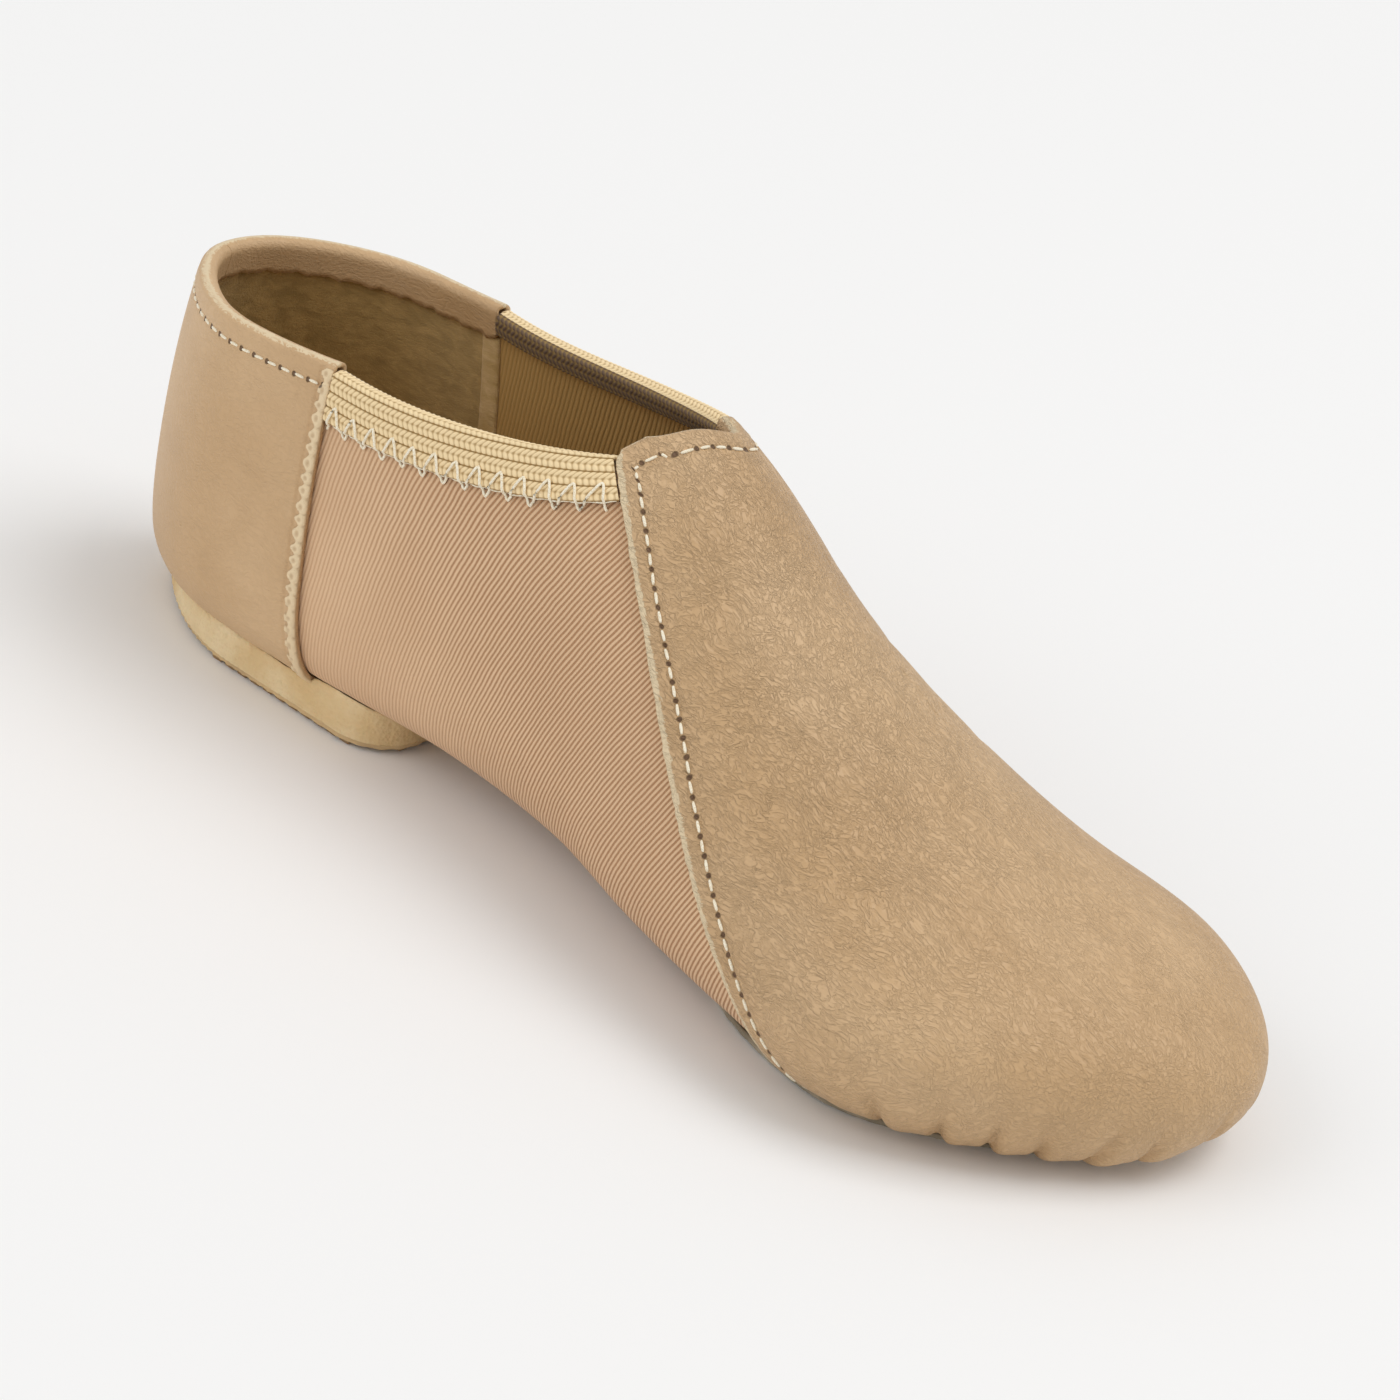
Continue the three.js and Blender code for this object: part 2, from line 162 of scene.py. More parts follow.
LINES = {
    "outer": along(SECTIONS[:, 1] * WIDTHS),
    "inner": along(SECTIONS[:, 2] * WIDTHS),
    "middle": along(TOE_DRIFT * SECTIONS[:, 3]),
    "top": along(SECTIONS[:, 4] * HEIGHTS),
    "bulge": along(SECTIONS[:, 5] * HEIGHTS),
    "under": along(BALL_Z + (SEAT_Z - BALL_Z) * SECTIONS[:, 6] + TOE_SPRING * SECTIONS[:, 7]),
    "flat": along(SECTIONS[:, 8]),
    "crown": along(SECTIONS[:, 9]),
}


def line(name, share):
    return np.interp(share, FINE_PLACES, LINES[name])


def end_share(share, kind):
    """How much of its size a section keeps near the round heel and toe: 1 less a power, rooted."""
    x = share * LAST_LENGTH
    heel = np.clip(1 - x / HEEL_ROUND[kind], 0, 1)
    toe = np.clip(1 - (LAST_LENGTH - x) / TOE_ROUND[kind], 0, 1)
    at_heel = (1 - heel ** HEEL_ROUND["power"]) ** (1 / HEEL_ROUND["power"])
    at_toe = (1 - toe ** TOE_ROUND["power"]) ** (1 / TOE_ROUND["power"])
    return at_heel * at_toe


def last_point(share, turn):
    """A point of the last. Turn is 0 underneath and pi on top, negative on the outer side."""
    share, turn = np.broadcast_arrays(np.clip(share, 0, 1), turn)
    turn = (turn + math.pi) % (2 * math.pi) - math.pi
    up = np.abs(turn)
    half = np.where(turn < 0, line("outer", share), line("inner", share)) * end_share(share, "plan")
    under = line("under", share)
    bulge = under + line("bulge", share)
    flat = line("flat", share)
    bend = np.clip((up - FLAT_TURN) / (QUARTER - FLAT_TURN), 0, 1) * QUARTER
    low_across = np.where(up < FLAT_TURN, flat * up / FLAT_TURN, flat + (1 - flat) * np.sin(bend))
    low_z = bulge - (bulge - under) * end_share(share, "under") * np.cos(bend)
    power = 2 / line("crown", share)
    top = (line("top", share) - line("bulge", share)) * end_share(share, "top")
    lift = np.clip(up - QUARTER, 0, QUARTER)
    across = np.where(up < QUARTER, low_across, np.clip(np.cos(lift), 0, 1) ** power)
    z = np.where(up < QUARTER, low_z, bulge + top * np.sin(lift) ** power)
    y = line("middle", share) + np.sign(turn) * across * half
    return np.stack([HEEL_X + share * LAST_LENGTH, y, z], -1)


def unit(vectors):
    return vectors / np.maximum(np.linalg.norm(vectors, axis=-1, keepdims=True), 1e-12)


def last_normal(share, turn):
    """The direction out of the last: the cross product of two small steps over it."""
    share = np.clip(share, 2e-4, 1 - 2e-4)
    step = 1e-4
    ahead = last_point(share + step, turn) - last_point(share - step, turn)
    around = last_point(share, turn + 20 * step) - last_point(share, turn - 20 * step)
    return unit(np.cross(around, ahead))


def skin(share, turn, offset):
    """The last grown by an offset."""
    return last_point(share, turn) + last_normal(share, turn) * np.asarray(offset)[..., None]


def turn_at(share, z):
    """The turn at which a section of the last reaches a height above its widest line."""
    bulge = line("under", share) + line("bulge", share)
    top = (line("top", share) - line("bulge", share)) * end_share(share, "top")
    rise = np.clip((z - bulge) / np.maximum(top, 1e-6), 0, 1)
    return QUARTER + np.arcsin(rise ** (line("crown", share) / 2))


def inside_last(points):
    """Whether points lie in the last: their share of the half width is under the section's."""
    share = (points[..., 0] - HEEL_X) / LAST_LENGTH
    held = np.clip(share, 0, 1)
    from_middle = points[..., 1] - line("middle", held)
    half = np.where(from_middle < 0, line("outer", held), line("inner", held)) * end_share(held, "plan")
    under = line("under", held)
    bulge = under + line("bulge", held)
    top = np.maximum((line("top", held) - line("bulge", held)) * end_share(held, "top"), 1e-6)
    rise = (points[..., 2] - bulge) / top
    crown = line("crown", held)
    high = np.clip(1 - np.clip(rise, 0, 1) ** crown, 0, 1) ** (1 / crown)
    drop = (bulge - points[..., 2]) / np.maximum((bulge - under) * end_share(held, "under"), 1e-6)
    flat = line("flat", held)
    low = flat + (1 - flat) * np.sqrt(np.clip(1 - drop ** 2, 0, 1))
    across = np.where(rise >= 0, np.where(rise > 1, -1, high), np.where(drop > 1, -1, low))
    return (share > 0) & (share < 1) & (np.abs(from_middle) < across * half)


def crossing(held, low, high, steps=30):
    """Where a test stops holding between two numbers, by halving the stretch between them."""
    for _ in range(steps):
        middle = (low + high) / 2
        keep = held(middle)
        low = np.where(keep, middle, low)
        high = np.where(keep, high, middle)
    return (low + high) / 2


def cast(origins, directions):
    """Where rays from inside the last leave it."""
    near = np.zeros(origins.shape[:-1])
    reach = crossing(lambda t: inside_last(origins + directions * t[..., None]), near, near + 130, 26)
    return origins + directions * reach[..., None]


def smooth(x, low, high):
    """0 under low, 1 over high and an even ease between them."""
    t = np.clip((x - low) / (high - low), 0, 1)
    return t * t * (3 - 2 * t)


def hump(x, width):
    """A soft hump, 1 at 0 and about nothing past twice its width."""
    return np.exp(-((x / width) ** 2))


def bezier_line(a, b, c):
    """Samples of a curve with one control point, for reading its height or place by np.interp."""
    t = np.linspace(0, 1, 200)[:, None]
    return (1 - t) ** 2 * np.array(a) + 2 * t * (1 - t) * np.array(b) + t * t * np.array(c)


def seam_x(z, side):
    """The side seam between quarter and gore, a straight leaning line."""
    shift = 0 if side == OUTER else -INNER_SEAM_BACK
    return SEAM_BOTTOM + shift + (SEAM_TOP - SEAM_BOTTOM) * z / COLLAR_SEAM


VAMP_CURVE = bezier_line(
    (VAMP_TOP, COLLAR_VAMP + LEATHER + GAP),
    ((VAMP_TOP + VAMP_BOTTOM) / 2 - 2 * VAMP_BOW, (COLLAR_VAMP + LEATHER + GAP) / 2),
    (VAMP_BOTTOM, 0),
)


def vamp_x(z):
    """The vamp's rear edge, a slightly bowed leaning line."""
    return np.interp(z, VAMP_CURVE[::-1, 1], VAMP_CURVE[::-1, 0])


def quarter_collar(x, side):
    turn = SEAM_TOP - (0 if side == OUTER else INNER_SEAM_BACK)
    curve = bezier_line((HEEL_X, COLLAR_BACK), ((HEEL_X + turn) / 2, COLLAR_BACK), (turn, COLLAR_SEAM))
    return np.interp(x, curve[:, 0], curve[:, 1])


def elastic_collar(x, side):
    turn = SEAM_TOP - (0 if side == OUTER else INNER_SEAM_BACK)
    start = COLLAR_SEAM - ELASTIC_DROP
    middle = ((turn + VAMP_TOP) / 2, start - ELASTIC_SAG)
    curve = bezier_line((turn, start), middle, (VAMP_TOP, COLLAR_VAMP - ELASTIC_DROP))
    slope = (curve[-1, 1] - curve[-2, 1]) / (curve[-1, 0] - curve[-2, 0])
    return np.interp(x, curve[:, 0], curve[:, 1]) + np.maximum(x - VAMP_TOP, 0) * slope


def vamp_collar(p):
    """The height at which the forepart's top edge runs, raised in a low arch over the instep."""
    arch = VAMP_ARCH * hump(p[..., 1] - 1, 10)
    return COLLAR_VAMP + VAMP_RISE * np.clip((p[..., 0] - VAMP_TOP) / VAMP_CORNER, 0, 1) + arch


# Meshes


def linear(code):
    """An sRGB hex colour as linear red, green, blue and alpha."""
    parts = np.array([code >> 16 & 255, code >> 8 & 255, code & 255]) / 255
    bent = np.where(parts <= 0.04045, parts / 12.92, ((parts + 0.055) / 1.055) ** 2.4)
    return (*bent.tolist(), 1.0)


def grid_faces(rows, columns, first=0, wrap=False):
    row = np.arange(rows - 1)[:, None] * columns + first
    column = np.arange(columns if wrap else columns - 1)[None]
    after = (column + 1) % columns
    corners = np.stack([row + column, row + after, row + columns + after, row + columns + column], -1)
    return corners.reshape(-1, 4)


def put(name, points, quads, cloth=None, triangles=None):
    """A mesh object of closed faces that point outwards. Cloth is a vector kept at each point."""
    triangles = np.zeros((0, 3), int) if triangles is None else triangles
    halves = np.concatenate([quads[:, [0, 1, 2]], quads[:, [0, 2, 3]], triangles])
    a, b, c = (points[halves[:, i]] for i in range(3))
    if np.sum(np.cross(a, b) * c) < 0:
        quads = quads[:, ::-1]
        triangles = triangles[:, ::-1]
    corners = np.concatenate([quads.ravel(), triangles.ravel()])
    counts = np.concatenate([np.full(len(quads), 4), np.full(len(triangles), 3)])
    mesh = bpy.data.meshes.new(name)
    mesh.vertices.add(len(points))
    mesh.vertices.foreach_set("co", (points / 1000).astype(np.float32).ravel())
    mesh.loops.add(len(corners))
    mesh.loops.foreach_set("vertex_index", corners.astype(np.int32))
    mesh.polygons.add(len(counts))
    mesh.polygons.foreach_set("loop_start", (np.cumsum(counts) - counts).astype(np.int32))
    mesh.polygons.foreach_set("use_smooth", np.ones(len(counts), bool))
    if cloth is not None:
        field = mesh.attributes.new("cloth", "FLOAT_VECTOR", "POINT")
        field.data.foreach_set("vector", cloth.astype(np.float32).ravel())
    mesh.update(calc_edges=True)
    mesh.validate()
    shape = bpy.data.objects.new(name, mesh)
    bpy.context.scene.collection.objects.link(shape)
    return shape


def closed_sheet(name, shown, hidden, shown_cloth=None, hidden_cloth=None):
    """A patch with a shown and a hidden face on grids of one size, joined round the four edges."""
    rows, columns = shown.shape[:2]
    shown_cloth = np.zeros(shown.shape) if shown_cloth is None else shown_cloth
    hidden_cloth = shown_cloth if hidden_cloth is None else hidden_cloth
    count = rows * columns
    points = np.concatenate([shown.reshape(-1, 3), hidden.reshape(-1, 3)])
    cloth = np.concatenate([shown_cloth.reshape(-1, 3), hidden_cloth.reshape(-1, 3)])
    index = np.arange(count).reshape(rows, columns)
    edge = np.concatenate([index[0], index[1:, -1], index[-1, -2::-1], index[-2:0:-1, 0]])
    after = np.roll(edge, -1)
    rim = np.stack([after, edge, edge + count, after + count], -1)
    front = grid_faces(rows, columns)
    back = grid_faces(rows, columns, count)[:, ::-1]
    return put(name, points, np.concatenate([front, back, rim]), cloth)


def closed_cup(name, shown, hidden, shown_cloth, hidden_cloth):
    """A cup whose grids go right round, join along their first rows and end in a pole each."""
    columns = shown.shape[1]
    parts, cloths, quads, triangles = [], [], [], []
    first = 0
    for grid, cloth, turned in ((shown, shown_cloth, 1), (hidden, hidden_cloth, -1)):
        rows = len(grid) - 1
        pole = first + rows * columns
        parts += [grid[:-1].reshape(-1, 3), grid[-1].mean(0, keepdims=True)]
        cloths += [cloth[:-1].reshape(-1, 3), cloth[-1].mean(0, keepdims=True)]
        quads.append(grid_faces(rows, columns, first, True)[:, ::turned])
        ring = pole - columns + np.arange(columns)
        fan = np.stack([ring, np.roll(ring, -1), np.full(columns, pole)], -1)
        triangles.append(fan[:, ::turned])
        first = pole + 1
    ring = np.arange(columns)
    after = np.roll(ring, -1)
    start = len(shown[:-1]) * columns + 1
    quads.append(np.stack([after, ring, ring + start, after + start], -1))
    return put(name, np.concatenate(parts), np.concatenate(quads), np.concatenate(cloths),
               np.concatenate(triangles))


def end_fans(rows, columns):
    """Triangles from a grid's first and last ring to the two poles that follow it."""
    ring = np.arange(columns)
    after = np.roll(ring, -1)
    last = (rows - 1) * columns
    return np.concatenate([
        np.stack([after, ring, np.full(columns, rows * columns)], -1),
        np.stack([last + ring, last + after, np.full(columns, rows * columns + 1)], -1),
    ])


def lengths(points):
    """Distance gone along a row of points."""
    steps = np.linalg.norm(np.diff(points, axis=0), axis=-1)
    return np.concatenate([[0], np.cumsum(steps)])


def pick(path, gone, at):
    """Points, or other values, of a path at some distances, read between the ones it is known at."""
    return np.stack([np.interp(at, gone, path[:, i]) for i in range(path.shape[1])], -1)


def copies(name, shape, quads, triangles, origins, ahead, side, up):
    """Copies of one small closed form, each set on three axes whose lengths scale it."""
    placed = (origins[:, None] + shape[None, :, :1] * ahead[:, None]
              + shape[None, :, 1:2] * side[:, None] + shape[None, :, 2:] * up[:, None])
    shift = np.arange(len(origins))[:, None, None] * len(shape)
    return put(name, placed.reshape(-1, 3), (quads[None] + shift).reshape(-1, 4), None,
               (triangles[None] + shift).reshape(-1, 3))


def capsule(rings, round_, power):
    """A lens with poles along x, radius the cosine to a power: 1 is an egg, 0.4 a thread's bolster."""
    angle = np.linspace(-QUARTER, QUARTER, rings + 2)[1:-1, None]
    turn = np.arange(round_)[None] * 2 * math.pi / round_
    radius = np.cos(angle) ** power
    body = np.stack([np.sin(angle) + 0 * turn, radius * np.cos(turn), radius * np.sin(turn)], -1)
    points = np.concatenate([body.reshape(-1, 3), [[-1, 0, 0], [1, 0, 0]]])
    return points, grid_faces(rings, round_, 0, True), end_fans(rings, round_)


def stitch_row(name, path, normals, gone, pitch, thick):
    """Bolster-shaped threads from hole to hole. The holes lie at whole pitches of the distance gone."""
    centres = (np.arange(math.ceil(gone[0] / pitch), math.floor(gone[-1] / pitch)) + 0.5) * pitch
    both = np.concatenate([path, normals], -1)
    middle = pick(both, gone, centres)
    ahead = (pick(both, gone, centres + 0.3) - pick(both, gone, centres - 0.3))[:, :3] / 0.6
    up = unit(middle[:, 3:])
    side = unit(np.cross(up, ahead))
    ahead = ahead + side * 0.07 * np.sin(centres * 2.1)[:, None]
    return copies(name, *capsule(7, 8, 0.55), middle[:, :3], ahead * pitch * 0.31, side * thick / 2,
                  up * thick / 2)


def tube(name, path, radius, round_=7):
    """A round tube along an open path, with a pole at each end."""
    ahead = unit(np.gradient(path, axis=0))
    side = unit(np.cross(ahead, [0.31, 0.2, 0.93]))
    up = np.cross(side, ahead)
    turn = (np.arange(round_) * 2 * math.pi / round_)[None, :, None]
    rings = path[:, None] + radius * (np.cos(turn) * side[:, None] + np.sin(turn) * up[:, None])
    points = np.concatenate([rings.reshape(-1, 3), path[:1], path[-1:]])
    return put(name, points, grid_faces(len(path), round_, 0, True), None, end_fans(len(path), round_))


def dress(shape, material, slot, *nodes):
    shape.data.materials.append(material)
    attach(shape, "root")
    if nodes:
        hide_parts(*nodes)
    return shape


# Materials

# Settings that many nodes share: a smooth ease of a value from one stretch to another, and a mix of
# two colours, whose sockets are the share, the colour under and the colour over
EASED = {"interpolation_type": "SMOOTHSTEP"}
COLOUR_MIX = {"data_type": "RGBA", "out": 2}


def add(tree, kind, inputs=(), out=0, **settings):
    """Adds a node with its settings; an input is a number, a colour or another node's output.

    Inputs stand in the node's own order, or under their names or numbers.
    """
    made = tree.nodes.new("ShaderNode" + kind)
    for key, value in settings.items():
        setattr(made, key, value)
    for key, value in (inputs.items() if isinstance(inputs, dict) else enumerate(inputs)):
        if isinstance(value, bpy.types.NodeSocket):
            tree.links.new(value, made.inputs[key])
        else:
            made.inputs[key].default_value = value
    return made.outputs[out]


def new_material(name):
    """An empty material, its tree, and the place on the object at which its patterns are read."""
    material = bpy.data.materials.new(name)
    material.use_nodes = True
    material.node_tree.nodes.clear()
    return material, material.node_tree, add(material.node_tree, "TexCoord", out=3)


def finished(material, inputs):
    """The material with its surface."""
    tree = material.node_tree
    output = tree.nodes.new("ShaderNodeOutputMaterial")
    tree.links.new(add(tree, "BsdfPrincipled", inputs), output.inputs["Surface"])
    return material


def cloth_parts(tree):
    """The three numbers kept at the points: along an edge, in from it, and a relief or side mark."""
    field = add(tree, "Attribute", attribute_name="cloth", out=1)
    return add(tree, "SeparateXYZ", [field]).node.outputs


def tanned_leather(name, colours, sizes):
    """Drum-tumbled garment leather: short wrinkles along the foot, pebbles and a waxy half gloss, with
    painted shade in the creases, needle holes and the ridge's dips.
    """
    material, tree, place = new_material(name)
    ahead = add(tree, "SeparateXYZ", [place])
    along_edge, from_edge, mark = cloth_parts(tree)
    pitch, inset = sizes.stitch_pitch * 1000, sizes.stitch_inset * 1000
    broad = add(tree, "TexNoise", {"Vector": place, "Scale": 28.0, "Detail": 3.0})
    # Tumbling draws the grain out into wrinkles three times as long as wide, which bend about
    strayed = add(tree, "TexNoise", {"Vector": place, "Scale": 90.0, "Detail": 2.0}, 1)
    strayed = add(tree, "VectorMath", [strayed, (0.006, 0.006, 0.006), place], operation="MULTIPLY_ADD")
    drawn = add(tree, "Mapping", {"Vector": strayed, "Rotation": (0.0, 0.2, 0.15), "Scale": (0.36, 1.0, 1.0)})
    pebble = add(tree, "TexVoronoi", {"Vector": drawn, "Scale": 1.4 / sizes.grain_width, "Smoothness": 0.6},
                 feature="SMOOTH_F1")
    wrinkle = add(tree, "TexNoise", {"Vector": drawn, "Scale": 1.1 / sizes.grain_width,
                                     "Detail": 2.0, "Roughness": 0.6, "Distortion": 0.4})
    dome = add(tree, "MapRange", [pebble, 0.05, 0.7, 1.0, 0.0], **EASED)
    # A wrinkle runs wherever the noise passes its middle value
    fold = add(tree, "Math", [wrinkle, 0.5], operation="SUBTRACT")
    fold = add(tree, "Math", [fold], operation="ABSOLUTE")
    fold = add(tree, "MapRange", [fold, 0.0, 0.11], **EASED)
    height = add(tree, "Math", [dome, fold], operation="ADD")
    height = add(tree, "Math", [height, 0.5], operation="MULTIPLY")
    # The heel quarters are stretched smooth, and the toe nearly so
    heel = add(tree, "MapRange", [ahead, 0.015, 0.06, 0.3, 1.0], **EASED)
    toe = add(tree, "MapRange", [ahead, 0.13, 0.19, 1.0, 0.65], **EASED)
    strength = add(tree, "Math", [heel, toe], operation="MULTIPLY")
    cloudy = add(tree, "MapRange", [broad, 0.32, 0.68], **EASED)
    tone = add(tree, "Mix", {0: cloudy, 6: colours.leather_deep, 7: colours.leather}, **COLOUR_MIX)
    # The bottoms of the creases and pebbles are painted in shade, weaker on the heel quarters and the toe
    depth = add(tree, "MapRange", [height, 0.1, 0.7, 0.24, 0.0], **EASED)
    depth = add(tree, "Math", [depth, strength], operation="MULTIPLY")
    tone = add(tree, "Mix", {0: depth, 6: tone, 7: colours.leather_crease_shade}, **COLOUR_MIX)
    # On the overcast ridge the thread's colour is painted in shade where the mark falls in the dips between
    # the loops
    crown = add(tree, "MapRange", [mark, 0.35, 0.9], **EASED)
    crown = add(tree, "Mix", {0: crown, 6: colours.leather_crease_shade, 7: colours.ridge}, **COLOUR_MIX)
    ridge = add(tree, "MapRange", [mark, 0.0, 1.0], **EASED)
    tone = add(tree, "Mix", {0: ridge, 6: tone, 7: crown}, **COLOUR_MIX)
    frayed = add(tree, "MapRange", [fold, 0.0, 1.0, -0.2, 0.2], **EASED)
    frayed = add(tree, "Math", [mark, frayed], operation="ADD")
    frayed = add(tree, "MapRange", [frayed, -0.7, -0.4, 0.9, 0.0], **EASED)
    tone = add(tree, "Mix", {0: frayed, 6: tone, 7: colours.raw_edge}, **COLOUR_MIX)
    # Needle holes lie at whole pitches along the edge, one inset in from it, and are painted in shade
    from_hole = add(tree, "Math", [along_edge, pitch / 2], operation="PINGPONG")
    from_row = add(tree, "Math", [from_edge, inset], operation="SUBTRACT")
    apart = add(tree, "CombineXYZ", [from_hole, from_row])
    reach = add(tree, "VectorMath", [apart], 1, operation="LENGTH")
    hole = add(tree, "MapRange", [reach, 0.28, 0.6, 1.0, 0.0], **EASED)
    dark = add(tree, "Math", [hole, 0.9], operation="MULTIPLY")
    tone = add(tree, "Mix", {0: dark, 6: tone, 7: colours.needle_hole_shade}, **COLOUR_MIX)
    height = add(tree, "Math", [height, strength], operation="MULTIPLY")
    pitted = add(tree, "Math", [hole, -1.5, height], operation="MULTIPLY_ADD")
    bump = add(tree, "Bump", {"Height": pitted, "Strength": 0.95, "Distance": 0.00034})
    rough = add(tree, "MapRange", [broad, 0.3, 0.7, 0.45, 0.55], **EASED)
    return finished(material, {
        "Base Color": tone, "Roughness": rough, "Normal": bump, "IOR": 1.47, "Specular IOR Level": 0.5,
        "Coat Weight": 0.06, "Coat Roughness": 0.38})


def stretch_twill(colours, sizes):
    """Woven stretch twill: steep ribs of twisted yarn that bend forward, painted shade between them, and a
    brown inner face.
    """
    material, tree, place = new_material("woven_stretch_twill")
    x, y, z = add(tree, "SeparateXYZ", [place]).node.outputs
    inside = cloth_parts(tree)[2]
    # A rib keeps to x - lean z; the lean grows to the front, where the cloth is pulled forward
    lean = add(tree, "MapRange", [x, 0.0, 0.1, sizes.rib_lean * 0.3, sizes.rib_lean * 1.35], **EASED)
    rise = add(tree, "Math", [z, 0.04], operation="SUBTRACT")
    ahead = add(tree, "Math", [rise, lean], operation="MULTIPLY")
    across = add(tree, "Math", [x, ahead], operation="SUBTRACT")
    across = add(tree, "Math", [across, sizes.rib_pitch], operation="DIVIDE")
    waver = add(tree, "TexNoise", {"Vector": place, "Scale": 160.0, "Detail": 2.0})
    waver = add(tree, "MapRange", [waver, 0.2, 0.8, -0.14, 0.14], **EASED)
    across = add(tree, "Math", [across, waver], operation="ADD")
    rib = add(tree, "Math", [across, 0.5], operation="PINGPONG")
    rib = add(tree, "MapRange", [rib, 0.06, 0.36], **EASED)
    aside = add(tree, "Math", [y], operation="ABSOLUTE")
    down = add(tree, "Math", [z, aside], operation="SUBTRACT")
    down = add(tree, "Math", [down, sizes.rib_pitch], operation="DIVIDE")
    yarn = add(tree, "Math", [across, 0.5, down], operation="MULTIPLY_ADD")
    yarn = add(tree, "Math", [yarn, 0.5], operation="PINGPONG")
    height = add(tree, "Math", [yarn, 0.3, rib], operation="MULTIPLY_ADD")
    # Low at the heel the cloth is stretched less, and its ribs close up
    taut = add(tree, "Math", [z, 0.8, x], operation="MULTIPLY_ADD")
    taut = add(tree, "MapRange", [taut, 0.04, 0.105, 0.4, 1.0], **EASED)
    # The gaps between the ribs are painted in shade, which fades where the ribs close up
    gap_shade = add(tree, "MapRange", [height, 0.1, 0.9, 1.0, 0.0], **EASED)
    gap_shade = add(tree, "Math", [gap_shade, taut], operation="MULTIPLY")
    tone = add(tree, "Mix", {0: gap_shade, 6: colours.twill, 7: colours.twill_gap_shade}, **COLOUR_MIX)
    broad = add(tree, "TexNoise", {"Vector": place, "Scale": 45.0, "Detail": 3.0})
    cloudy = add(tree, "MapRange", [broad, 0.3, 0.7, 0.0, 0.14], **EASED)
    tone = add(tree, "Mix", {0: cloudy, 6: tone, 7: colours.twill_gap_shade}, **COLOUR_MIX)
    # On the inner face the gaps between the yarns are painted in shade with the lining's dark colour
    backing = add(tree, "MapRange", [height, 0.1, 0.95, 0.6, 1.0], **EASED)
    backing = add(tree, "Mix", {0: backing, 6: colours.lining_dark, 7: colours.backing}, **COLOUR_MIX)
    tone = add(tree, "Mix", {0: inside, 6: tone, 7: backing}, **COLOUR_MIX)
    height = add(tree, "Math", [height, taut], operation="MULTIPLY")
    bump = add(tree, "Bump", {"Height": height, "Strength": 0.75, "Distance": 0.00026})
    return finished(material, {
        "Base Color": tone, "Roughness": 0.82, "Normal": bump, "Sheen Weight": 0.08, "Sheen Roughness": 0.5,
        "Specular IOR Level": 0.25})


def knitted_elastic(colours):
    """Warp-knitted elastic of covered rubber: pale crowns on the stitches, painted shade in the gaps between
    them and on its face inside the shoe.
    """
    material, tree, place = new_material("knitted_elastic")
    across, relief = cloth_parts(tree)[1:]
    fuzz = add(tree, "TexNoise", {"Vector": place, "Scale": 5000.0, "Detail": 2.0})
    # The gaps between the stitches are painted in shade
    crown = add(tree, "MapRange", [relief, 0.05, 0.75], **EASED)
    tone = add(tree, "Mix", {0: crown, 6: colours.knit_gap_shade, 7: colours.knit}, **COLOUR_MIX)
    loose = add(tree, "MapRange", [fuzz, 0.45, 0.8, 0.0, 0.12], **EASED)
    tone = add(tree, "Mix", {0: loose, 6: tone, 7: colours.raw_edge}, **COLOUR_MIX)
    # The elastic's face inside the shoe is painted in shade, deeper still in its gaps
    inner = add(tree, "MapRange", [relief, 0.1, 0.8], **EASED)
    inner = add(tree, "Mix", {0: inner, 6: colours.lining_dark, 7: colours.elastic_inside_shade}, **COLOUR_MIX)
    inside = add(tree, "MapRange", [across, -1.2, -0.6, 1.0, 0.0], **EASED)
    tone = add(tree, "Mix", {0: inside, 6: tone, 7: inner}, **COLOUR_MIX)
    bump = add(tree, "Bump", {"Height": fuzz, "Strength": 0.4, "Distance": 0.0001})
    return finished(material, {
        "Base Color": tone, "Roughness": 0.78, "Normal": bump,
        "Sheen Weight": 0.1, "Specular IOR Level": 0.3})


def napped_cloth(name, light, dark, fibre, sheen, relief):
    """Brushed nap, as on lining suede: soft directional fibres that darken in clumps."""
    material, tree, place = new_material(name)
    combed = add(tree, "Mapping", {"Vector": place, "Rotation": (0.0, 0.5, 0.4), "Scale": (0.5, 1.0, 1.3)})
    clump = add(tree, "TexNoise", {"Vector": combed, "Scale": 0.16 / fibre, "Detail": 4.0, "Distortion": 0.6})
    hair = add(tree, "TexNoise", {"Vector": combed, "Scale": 1.0 / fibre, "Detail": 3.0, "Roughness": 0.7})
    share = add(tree, "MapRange", [clump, 0.3, 0.7], **EASED)
    tone = add(tree, "Mix", {0: share, 6: dark, 7: light}, **COLOUR_MIX)
    share = add(tree, "MapRange", [hair, 0.35, 0.65, 0.35, 0.0], **EASED)
    tone = add(tree, "Mix", {0: share, 6: tone, 7: dark}, **COLOUR_MIX)
    height = add(tree, "Math", [clump, 0.8, hair], operation="MULTIPLY_ADD")
    bump = add(tree, "Bump", {"Height": height, "Strength": 0.7, "Distance": relief})
    return finished(material, {
        "Base Color": tone, "Roughness": 0.95, "Normal": bump, "Sheen Weight": sheen, "Sheen Roughness": 0.6,
        "Specular IOR Level": 0.15})


